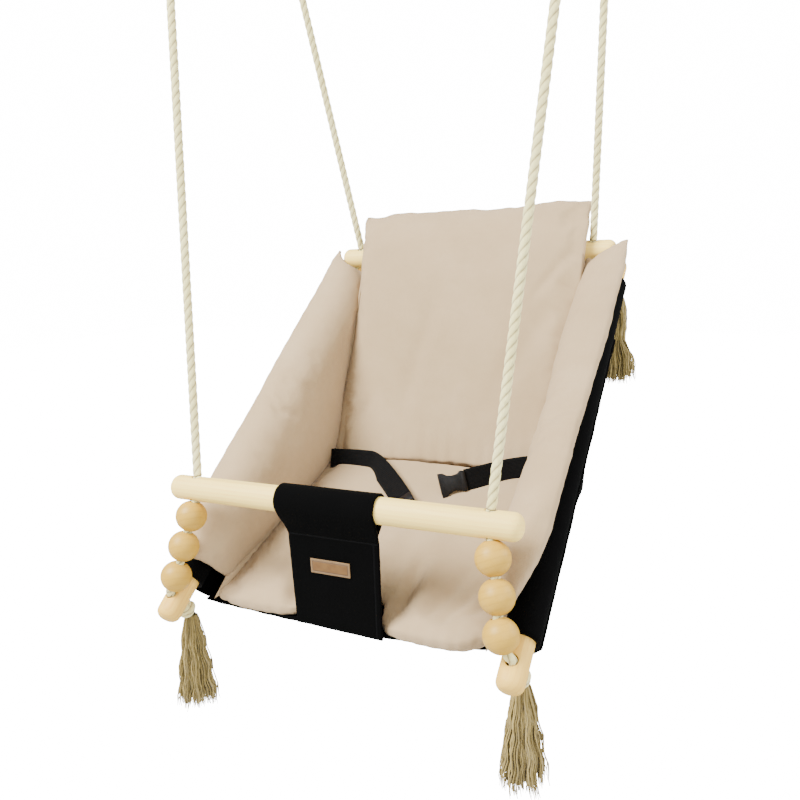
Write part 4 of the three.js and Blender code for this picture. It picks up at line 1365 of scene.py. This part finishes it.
def wing_canvas_middle(side):
    wrap = SLEEVE + GAP + CANVAS / 2
    turn = math.radians(35)
    first = next(number / 500 for number in range(500) if sling_at(number / 500).y > SLEEVE_START)

    def middle(u, v):
        share = first + (0.8 - first) * v
        place = sling_at(share)
        low = seat(side * (sling_half(share) + CANVAS / 2 + 2 * GAP), place.y, place.z)
        on_sleeve = seat(bar_across(side, place.y) + side * wrap * math.cos(turn), place.y, -wrap * math.sin(turn))
        under = on_sleeve + ACROSS * (-side * wrap * math.sin(turn)) - ABOVE * (wrap * math.cos(turn))
        up = u if side > 0 else 1 - u
        return low * (1 - up) ** 2 + under * 2 * up * (1 - up) + on_sleeve * up * up
    return middle


def sleeve_tube(name, start, end, radius, inner, wave_seed):
    """A canvas tube with thickness: an outer skin with small wrinkles and a smooth inner one."""
    way = (end - start).normalized()
    aside = way.orthogonal().normalized()
    square = way.cross(aside)
    length = (end - start).length
    rows, sides = 90, 40
    corners, faces, maps = [], [], []
    for skin in (0, 1):
        for row in range(rows + 1):
            run = length * row / rows
            for corner in range(sides):
                turn = math.tau * corner / sides
                size = inner
                if skin == 0:
                    ripple = waves(run + 0.01 * math.sin(turn + wave_seed), 0.026, wave_seed)
                    size = radius + 0.0005 * ripple * math.sin(turn * 2 + run * 30) - 0.0002
                corners.append(start + way * run + (aside * math.cos(turn) + square * math.sin(turn)) * size)
    block = (rows + 1) * sides
    for row in range(rows):
        at, below = row * sides, (row + 1) * sides
        near, far = length * row / rows, length * (row + 1) / rows
        for corner in range(sides):
            beside = (corner + 1) % sides
            faces.append((at + corner, at + beside, below + beside, below + corner))
            faces.append((block + at + beside, block + at + corner, block + below + corner, block + below + beside))
            this_way, next_way = (step / sides * math.tau * radius for step in (corner, corner + 1))
            spot = [(this_way, near), (next_way, near), (next_way, far), (this_way, far)]
            maps += spot + [spot[1], spot[0], spot[3], spot[2]]
    last = rows * sides
    for corner in range(sides):
        beside = (corner + 1) % sides
        faces.append((beside, corner, block + corner, block + beside))
        faces.append((last + corner, last + beside, block + last + beside, block + last + corner))
        maps += [(0, 0)] * 8
    piece = mesh_piece(name, corners, faces)
    write_map(piece, "cloth_map", maps)
    return mark_seam(piece, lambda place: 1.0)


for name, side in SIDES.items():
    wing_canvas, wing_flat = cloth_sheet(
        "canvas_wing_" + name, wing_canvas_middle(side), 20, 90, CANVAS * 0.9,
        lambda u, v, side=side: 0.0008 * noise.noise(Vector((u * 4, v * 14, 3.0 + side))))
    dressed(wing_canvas, black_canvas, "black_canvas", "seat", "wing_canvas_" + name)
    sleeve = sleeve_tube("canvas_sleeve_" + name, by_side_bar(side, SLEEVE_START), by_side_bar(side, SLEEVE_END),
                         SLEEVE, SLEEVE_BORE, 3.0 + side)
    dressed(sleeve, black_canvas, "black_canvas", "seat", "sleeve_" + name)
back_sleeve = sleeve_tube("canvas_back_sleeve", seat(-BACK_SLEEVE_HALF, *BACK_BAR),
                          seat(BACK_SLEEVE_HALF, *BACK_BAR), BACK_SLEEVE, SLEEVE_BORE, 6.0)
dressed(back_sleeve, black_canvas, "black_canvas", "seat", "back_sleeve")
print("canvas pieces made")

# %% [markdown]
# ## Panel between the legs
# The panel is one strip of canvas, folded over the front bar and sewn to itself below it. It is swept in code
# from the bar's loop down to the sling's front hem. A row of stitches runs across it below the bar, and a
# leather tag sits in the middle.

# %% Panel
PANEL_WIDE, PANEL_DROP, PANEL_SEAM, PANEL_LEAN, PANEL_LOOP = 0.118, 0.143, 0.034, 0.003, 0.016
STITCH_BELOW, STITCH_IN = 0.002, 0.006


def panel_width(down):
    return PANEL_WIDE - 0.009 * soft_step(0.008, 0.038, down) - 0.004 * soft_step(0.04, PANEL_DROP, down)


def panel_route():
    """The strip from the side: up behind the bar, over it and down its front, then on to the hem."""
    turn = math.acos(PANEL_LOOP / PANEL_SEAM)
    first, last = -math.pi / 2 + turn, 3 * math.pi / 2 - turn
    loop = [first + (last - first) * number / 60 for number in range(61)]
    route = [Vector((0, 0.0028, -PANEL_SEAM - STITCH_BELOW))]
    route += [Vector((0, math.cos(angle), math.sin(angle))) * PANEL_LOOP for angle in loop]
    return route + [Vector((0, 0, -PANEL_SEAM)), Vector((0, PANEL_LEAN, -PANEL_DROP + 0.001))]


PANEL_POINTS, PANEL_RUN = evenly(panel_route(), 0.001)
SEAM_SHARE = 1 - (PANEL_DROP - PANEL_SEAM) / PANEL_RUN


def between(points, share):
    """The place at a share of the way through a list of points."""
    place = share * (len(points) - 1)
    first = min(int(place), len(points) - 2)
    return points[first].lerp(points[first + 1], place - first)


def panel_middle(u, v):
    point = between(PANEL_POINTS, v)
    wide = panel_width(max(-point.z, 0)) - 0.006 * (1 - soft_step(0.05, 0.35, v))
    aside = -0.0015 * (1 - soft_step(0.3, SEAM_SHARE, v))
    bow = 0.0008 * noise.noise(Vector((u * 3, v * 5, 4.0)))
    hem = 0.003 * (1 - u) * soft_step(SEAM_SHARE, 1, v)
    return Vector(((u - 0.5) * wide + aside, FRONT_BAR_Y + point.y + bow, FRONT_BAR_Z + point.z + hem))


def panel_wrinkle(u, v):
    side = math.exp(-min(u, 1 - u) / 0.05)
    tuck = math.exp(-((v - SEAM_SHARE) / 0.008) ** 2)
    return 0.0004 * side * waves(v * 0.24, 0.016, 6.0) - 0.0008 * tuck


def panel_seam(place):
    """A row of stitches closes the loop, and another runs 6 mm inside the right edge."""
    down = FRONT_BAR_Z - place.z
    across_row = abs(down - PANEL_SEAM - STITCH_BELOW)
    beside_edge = abs(panel_width(down) / 2 - STITCH_IN - place.x) if down > PANEL_SEAM else 1.0
    return min(across_row, beside_edge) if place.y < -0.200 else 1.0


panel, panel_flat = cloth_sheet("canvas_panel", panel_middle, 66, 200, 0.0026, panel_wrinkle, panel_seam)
dressed(panel, black_canvas, "black_canvas", "seat", "crotch_panel")
print("panel cut", [round(size, 3) for size in panel_flat])

# %% [markdown]
# ## Leather tag
# A small tag of tan leather is sewn to the panel. A cube is resized to a 1.2 mm sheet in edit mode and its edges
# are bevelled. The line pressed inside its edge is finer than that, so the finish draws it.

# %% Tag
TAG_WIDTH, TAG_THICK, TAG_HEIGHT = 0.048, 0.0012, 0.016
TAG_DOWN, TAG_PROUD, TAG_ASIDE = 0.069, 0.0021, -0.004
TAG_LEAN = PANEL_LEAN / (PANEL_DROP - PANEL_SEAM)
TAG_MIDDLE = Vector((TAG_ASIDE, FRONT_BAR_Y + TAG_LEAN * (TAG_DOWN - PANEL_SEAM) - TAG_PROUD - GAP,
                     FRONT_BAR_Z - TAG_DOWN))


def leather_finish():
    finish, tree, shader = new_finish("tan_leather", Roughness=0.55)
    place = node(tree, "ShaderNodeTexCoord").outputs["Object"]
    apart = node(tree, "ShaderNodeSeparateXYZ", {0: place})
    sideways = maths(tree, "ABSOLUTE", maths(tree, "SUBTRACT", apart.outputs["X"], TAG_MIDDLE.x))
    upward = maths(tree, "ABSOLUTE", maths(tree, "SUBTRACT", apart.outputs["Z"], TAG_MIDDLE.z))
    inside = maths(tree, "MINIMUM", maths(tree, "SUBTRACT", TAG_WIDTH / 2, sideways),
                   maths(tree, "SUBTRACT", TAG_HEIGHT / 2, upward))
    line = fading(tree, maths(tree, "ABSOLUTE", maths(tree, "SUBTRACT", inside, 0.0026)), 0.0002, 0.0006)
    rim = fading(tree, inside, 0.0022, 0.0028)
    pores = node(tree, "ShaderNodeTexVoronoi", {"Vector": place, "Scale": 1400.0})
    stain = clouds(tree, place, 160.0, 3.0)
    body = ramp(tree, stain, (0.3, tone("5c3d12")), (0.7, tone("66471a")))
    edge = ramp(tree, stain, (0.3, tone("6a5030")), (0.7, tone("745a38")))
    both = painted(tree, rim, body, edge)
    pressed = painted(tree, maths(tree, "MULTIPLY", line, 0.85), both, (*tone("3f2812"), 1))
    tree.links.new(pressed, shader.inputs["Base Color"])
    height = maths(tree, "SUBTRACT", maths(tree, "MULTIPLY", pores.outputs["Distance"], 0.3), line)
    bump(tree, shader, height, 0.0003, 0.7)
    return finish


tag = added(bpy.ops.mesh.primitive_cube_add, size=1)
tag.name = "tan_leather_tag"
bpy.ops.object.mode_set(mode="EDIT")
bpy.ops.transform.resize(value=(TAG_WIDTH, TAG_THICK, TAG_HEIGHT))
bpy.ops.mesh.subdivide(number_cuts=3)
bpy.ops.object.mode_set(mode="OBJECT")
rounded(tag, 0.0004, 3, 40)
tag.rotation_euler = (math.atan(TAG_LEAN), 0, 0)
tag.location = TAG_MIDDLE
settled(tag)
smooth_to(tag, 35)
dressed(tag, leather_finish(), "leather", "seat", "leather_tag")
print("tag at", [round(value, 4) for value in TAG_MIDDLE])

# %% [markdown]
# ## Waist straps and buckle
# Two webbing straps are sewn in between the back pad and the wings. The left one folds over itself on its way to
# the front bar and ends in the buckle's plug; the right one ends in the socket. Webbing keeps its flat section,
# so each strap is a ribbon carried along its route, with the way it faces set at each point.

# %% Webbing and plastic
def webbing_finish():
    finish, tree, shader = new_finish("black_webbing", Roughness=0.8, Specular_IOR_Level=0.12)
    cloth_map = map_axes(tree, "cloth_map")
    rib = maths(tree, "ABSOLUTE", maths(tree, "SINE", maths(tree, "MULTIPLY", cloth_map["X"], math.pi * 620)))
    slant = mixture(tree, (cloth_map["X"], 620.0), (cloth_map["Y"], 900.0))
    pick = maths(tree, "ABSOLUTE", maths(tree, "SINE", maths(tree, "MULTIPLY", slant, math.pi)))
    shade = mixture(tree, (pick, 0.4), (clouds(tree, object_place(tree), 70.0, 3.0), 0.6))
    colour = ramp(tree, shade, (0.2, tone("010101")), (0.55, tone("030303")), (0.9, tone("070607")))
    tree.links.new(colour, shader.inputs["Base Color"])
    bump(tree, shader, maths(tree, "ADD", rib, maths(tree, "MULTIPLY", pick, 0.6)), 0.0004, 0.8)
    return finish


def plastic_finish():
    finish, tree, shader = new_finish("black_plastic", Specular_IOR_Level=0.25)
    place = object_place(tree)
    grain, worn = clouds(tree, place, 1500.0, 2.0), clouds(tree, place, 90.0, 3.0)
    tree.links.new(ramp(tree, worn, (0.3, tone("030202")), (0.7, tone("090708"))), shader.inputs["Base Color"])
    tree.links.new(ramp(tree, worn, (0.3, grey(0.36)), (0.7, grey(0.5))), shader.inputs["Roughness"])
    bump(tree, shader, grain, 0.0001, 0.5)
    return finish


webbing, plastic = webbing_finish(), plastic_finish()
print("finishes", webbing.name, plastic.name)

# %% Straps
STRAP_WIDTH, STRAP_THICK = 0.027, 0.0018
UP_BACK, DOWN_FRONT = (0, 0.82, 0.572), (0, -0.82, -0.572)
LEFT_ROUTE = [(-156, 277, -88.9), (-105, 278, -87.1), (-82, 272, -84.1), (-43, 238, -73), (-12, 208, -63)]
RIGHT_ROUTE = [(154, 297, -87), (104, 281, -83.3), (57, 252, -73)]
LEFT_WIDES = [UP_BACK, UP_BACK, (0.64, 0.74, 0.14), (0.70, 0.72, 0.04)]
RIGHT_WIDES = [DOWN_FRONT, DOWN_FRONT]


def seat_way(numbers):
    return ACROSS * numbers[0] + ALONG * numbers[1] + ABOVE * numbers[2]


def strap_line(route, wides):
    """A ribbon's middle along a route in millimetres, and where, which way and how turned it ends."""
    points, length = evenly(smooth_route([seat(*(value / 1000 for value in place)) for place in route], 40), 0.001)
    ways = [(after - before).normalized() for before, after in zip([points[0], *points], [*points[1:], points[-1]])]

    def wide_at(v):
        wide = between([seat_way(numbers) for numbers in wides], v)
        way = ways[min(round(v * (len(points) - 1)), len(points) - 1)]
        return (wide - way * wide.dot(way)).normalized()

    def middle(u, v):
        return between(points, v) + wide_at(v) * (u - 0.5) * STRAP_WIDTH

    return middle, points[-1], ways[-1], wide_at(1), length


strap_ends = {}
for name, route, wides in (("left", LEFT_ROUTE, LEFT_WIDES), ("right", RIGHT_ROUTE, RIGHT_WIDES)):
    middle, end, way, wide, length = strap_line(route, wides)
    strap = cloth_sheet("webbing_strap_" + name, middle, 12, 90, STRAP_THICK * 0.92,
                        lambda u, v: 0.0002 * math.cos(math.tau * u * 6))[0]
    dressed(strap, webbing, "black_webbing", "strap_" + name, "waist_strap_" + name)
    strap_ends[name] = (end, way, wide)
    print(strap.name, "length", round(length, 4))


# %% [markdown]
# The buckle is a side-release one, moulded in black plastic: a hollow socket on the right strap, and a plug with
# a guide and two springy arms on the left one. A moulding changes its width along its length, so each part
# starts as a plane that is extruded and resized from section to section, and its edges are bevelled. The
# socket's mouth is cut with a boolean.

# %% Buckle
def lofted_block(name, sections, round_off):
    """Starts as a flat plate and is extruded and resized from section to section: run, width and thickness."""
    block = added(bpy.ops.mesh.primitive_plane_add, size=1)
    block.name = name
    bpy.ops.object.mode_set(mode="EDIT")
    run, width, thick = sections[0]
    bpy.ops.transform.resize(value=(width, thick, 1))
    bpy.ops.transform.translate(value=(0, 0, run))
    for next_run, next_width, next_thick in sections[1:]:
        bpy.ops.mesh.extrude_region_move(TRANSFORM_OT_translate={"value": (0, 0, next_run - run)})
        bpy.ops.transform.resize(value=(next_width / width, next_thick / thick, 1))
        run, width, thick = next_run, next_width, next_thick
    faces_outwards()
    return rounded(block, round_off, 3, 28)


def laid_at(block, end, way, wide):
    """Lays a buckle half on the end of its strap."""
    up = way.cross(wide).normalized()
    turn = Matrix((wide, up, way)).transposed().to_4x4()
    block.matrix_world = Matrix.Translation(end - way * 0.0008) @ turn
    settled(block)
    bpy.ops.mesh.customdata_custom_splitnormals_clear()
    return smooth_to(block, 40)


BUCKLE = 0.031
GRIP_STEP, GRIP_HIGH, ARM_OUT = 0.0018, 0.0043, 0.0105
socket = lofted_block("buckle_shell", [
    (0.0002, 0.76 * BUCKLE, 0.0070), (0.0040, 0.84 * BUCKLE, 0.0084), (0.0060, 0.84 * BUCKLE, 0.0086),
    (0.0095, 0.66 * BUCKLE, 0.0078), (0.0170, 0.62 * BUCKLE, 0.0074), (0.0230, 0.72 * BUCKLE, 0.0080),
    (0.0275, 0.96 * BUCKLE, 0.0086), (0.0338, 0.99 * BUCKLE, 0.0088)], 0.0010)
mouth = lofted_block("mouth_cutter", [(0.020, 0.0205, 0.0046), (0.036, 0.0265, 0.0052)], 0.0004)
cut_by(socket, mouth)
for height in (-1, 1):
    for number in range(3):
        grip = lofted_block("grip_rib", [
            (run + GRIP_STEP * number, 0.020, 0.0006) for run in (0.0280, 0.0289)], 0.0002)
        grip.location.y = height * GRIP_HIGH
        settled(grip)
        joined(socket, grip)
laid_at(socket, *strap_ends["right"])
dressed(socket, plastic, "black_plastic", "strap_right", "buckle_socket")

plug = lofted_block("buckle_tongue", [
    (0.0002, 0.70 * BUCKLE, 0.0070), (0.0030, 0.84 * BUCKLE, 0.0086), (0.0110, 0.84 * BUCKLE, 0.0088),
    (0.0160, 0.78 * BUCKLE, 0.0066)], 0.0010)
guide = lofted_block("tongue_guide", [
    (0.0150, 0.0040, 0.0036), (0.0320, 0.0040, 0.0036), (0.0345, 0.0020, 0.0024)], 0.0004)
arms = []
for side in (-1, 1):
    arm = lofted_block("tongue_arm", [
        (0.0150, 0.0032, 0.0038), (0.0240, 0.0026, 0.0038), (0.0285, 0.0048, 0.0038), (0.0330, 0.0046, 0.0036),
        (0.0348, 0.0020, 0.0026)], 0.0005)
    arm.location.x = side * ARM_OUT
    settled(arm)
    arms.append(arm)
joined(plug, guide, *arms)
laid_at(plug, *strap_ends["left"])
dressed(plug, plastic, "black_plastic", "strap_left", "buckle_plug")
print("buckle", len(socket.data.polygons), len(plug.data.polygons))

# %% [markdown]
# ## Ceiling hooks
# Each rope hangs from an open hook under a round plate. The hook is zinc-plated wire, so it is made as wire is
# bent: a disc is extruded into a shank, spun half a turn for the bend and extruded again for the tip. Two screws
# hold the plate. The photograph ends below the hooks, so their form is a plain common one.

# %% Hooks
def steel_finish():
    finish, tree, shader = new_finish("zinc_steel", Metallic=1.0)
    place = object_place(tree)
    spangle = node(tree, "ShaderNodeTexVoronoi", {"Vector": place, "Scale": 260.0})
    dulled = clouds(tree, place, 50.0, 4.0)
    shade = mixture(tree, (spangle.outputs["Distance"], 0.4), (dulled, 0.6))
    tree.links.new(ramp(tree, shade, (0.2, tone("a7aaac")), (0.8, tone("ced1d2"))), shader.inputs["Base Color"])
    tree.links.new(ramp(tree, shade, (0.2, grey(0.28)), (0.8, grey(0.46))), shader.inputs["Roughness"])
    bump(tree, shader, dulled, 0.0001, 0.4)
    return finish


PLATE_HALF, SCREW_OUT, SCREW_HALF, SCREW_TURN = 0.023, 0.0145, 0.0036, 0.4
TIP_RISE, TIP_CAP = 0.0105, 0.0012


def grown(up):
    bpy.ops.mesh.extrude_region_move(TRANSFORM_OT_translate={"value": (0, 0, up)})


def open_hook(name, side):
    """A hook whose throat is at x and y 0, with its shank and plate out to its own side."""
    shank = (side * HOOK_BEND, 0, -PLATE / 2)
    wire = added(bpy.ops.mesh.primitive_circle_add, vertices=20, radius=WIRE_HALF, fill_type="NGON", location=shank)
    wire.name = name
    bpy.ops.object.mode_set(mode="EDIT")
    grown(-THROAT + HOOK_BEND + PLATE / 2)
    bpy.ops.mesh.spin(steps=20, angle=-side * math.pi, center=(0, 0, -THROAT + HOOK_BEND), axis=(0, 1, 0))
    grown(TIP_RISE)
    grown(TIP_CAP)
    bpy.ops.transform.resize(value=(0.72, 0.72, 1))
    faces_outwards()
    plate = added(bpy.ops.mesh.primitive_cylinder_add, vertices=64, radius=PLATE_HALF, depth=PLATE, location=shank)
    rounded(plate, 0.0011, 4, 40)
    pieces = [plate]
    for out in (-SCREW_OUT, SCREW_OUT):
        head = added(bpy.ops.mesh.primitive_cylinder_add, vertices=32, radius=SCREW_HALF, depth=0.0012,
                     location=(shank[0], out, -0.0044))
        for turn in (0, math.pi / 2):
            cut_by(head, added(bpy.ops.mesh.primitive_cube_add, size=1, location=(shank[0], out, -0.0049),
                               rotation=(0, 0, turn + SCREW_TURN), scale=(0.0045, 0.0008, 0.0008)))
        pieces.append(rounded(head, 0.0003, 2, 50))
    joined(wire, *pieces)
    return settled(smooth_to(wire, 35))


zinc_steel = steel_finish()
for row, (spread, ahead) in HOOKS.items():
    for name, side in SIDES.items():
        ceiling_hook = open_hook("wire_hook_%s_%s" % (row, name), side)
        ceiling_hook.location = (side * spread, ahead, 0)
        settled(ceiling_hook)
        dressed(ceiling_hook, zinc_steel, "zinc_steel", "ceiling", "ceiling_hook_%s_%s" % (row, name))
print("hooks", len(ceiling_hook.data.polygons))

# %% [markdown]
# ## Studio
# The floor and the background are a plain white sweep, as in a product photograph. Three large soft panels
# light the seat from the left, from the right and from beside it, and the white room fills the shadows. The sweep
# looks brighter to the camera than to the object, so that it stays white without washing out the cloth.

# %% Floor and light
def bright_to_camera(tree, plain, bright):
    seen = node(tree, "ShaderNodeLightPath").outputs["Is Camera Ray"]
    return node(tree, "ShaderNodeMapRange", {"Value": seen, 3: plain, 4: bright}).outputs[0]


WHITE = (*grey(1.0), 1)
CAMERA_GLOW, ROOM_GLOW = 16.0, 0.62
floor = added(bpy.ops.mesh.primitive_plane_add, size=12, location=(0, 0, -1.25))
floor.name = "studio_floor"
floor_finish, floor_tree, floor_shader = new_finish(
    "studio_white", Roughness=1.0, Base_Color=(*grey(0.55), 1), Specular_IOR_Level=0.0, Emission_Color=WHITE)
floor_tree.links.new(bright_to_camera(floor_tree, 0.0, CAMERA_GLOW), floor_shader.inputs["Emission Strength"])
floor.data.materials.append(floor_finish)
world = bpy.data.worlds.new("studio")
bpy.context.scene.world = world
world.use_nodes = True
backdrop = world.node_tree.nodes["Background"]
backdrop.inputs["Color"].default_value = WHITE
world.node_tree.links.new(bright_to_camera(world.node_tree, ROOM_GLOW, CAMERA_GLOW), backdrop.inputs["Strength"])
LIT_POINT = Vector((0, 0, -0.7))
for title, place, size, power in (("key_panel", (-1.1, -1.6, 1.2), 1.4, 265),
                                  ("fill_panel", (1.9, -1.6, 0.2), 2.0, 55),
                                  ("side_panel", (2.0, 0.7, 0.2), 1.6, 70)):
    light_data = bpy.data.lights.new(title, "AREA")
    light_data.size = size
    light_data.energy = power
    light = bpy.data.objects.new(title, light_data)
    light.location = place
    light.rotation_euler = (LIT_POINT - Vector(place)).to_track_quat("-Z", "Y").to_euler()
    bpy.context.scene.collection.objects.link(light)
print("lights", [light.name for light in bpy.data.lights])
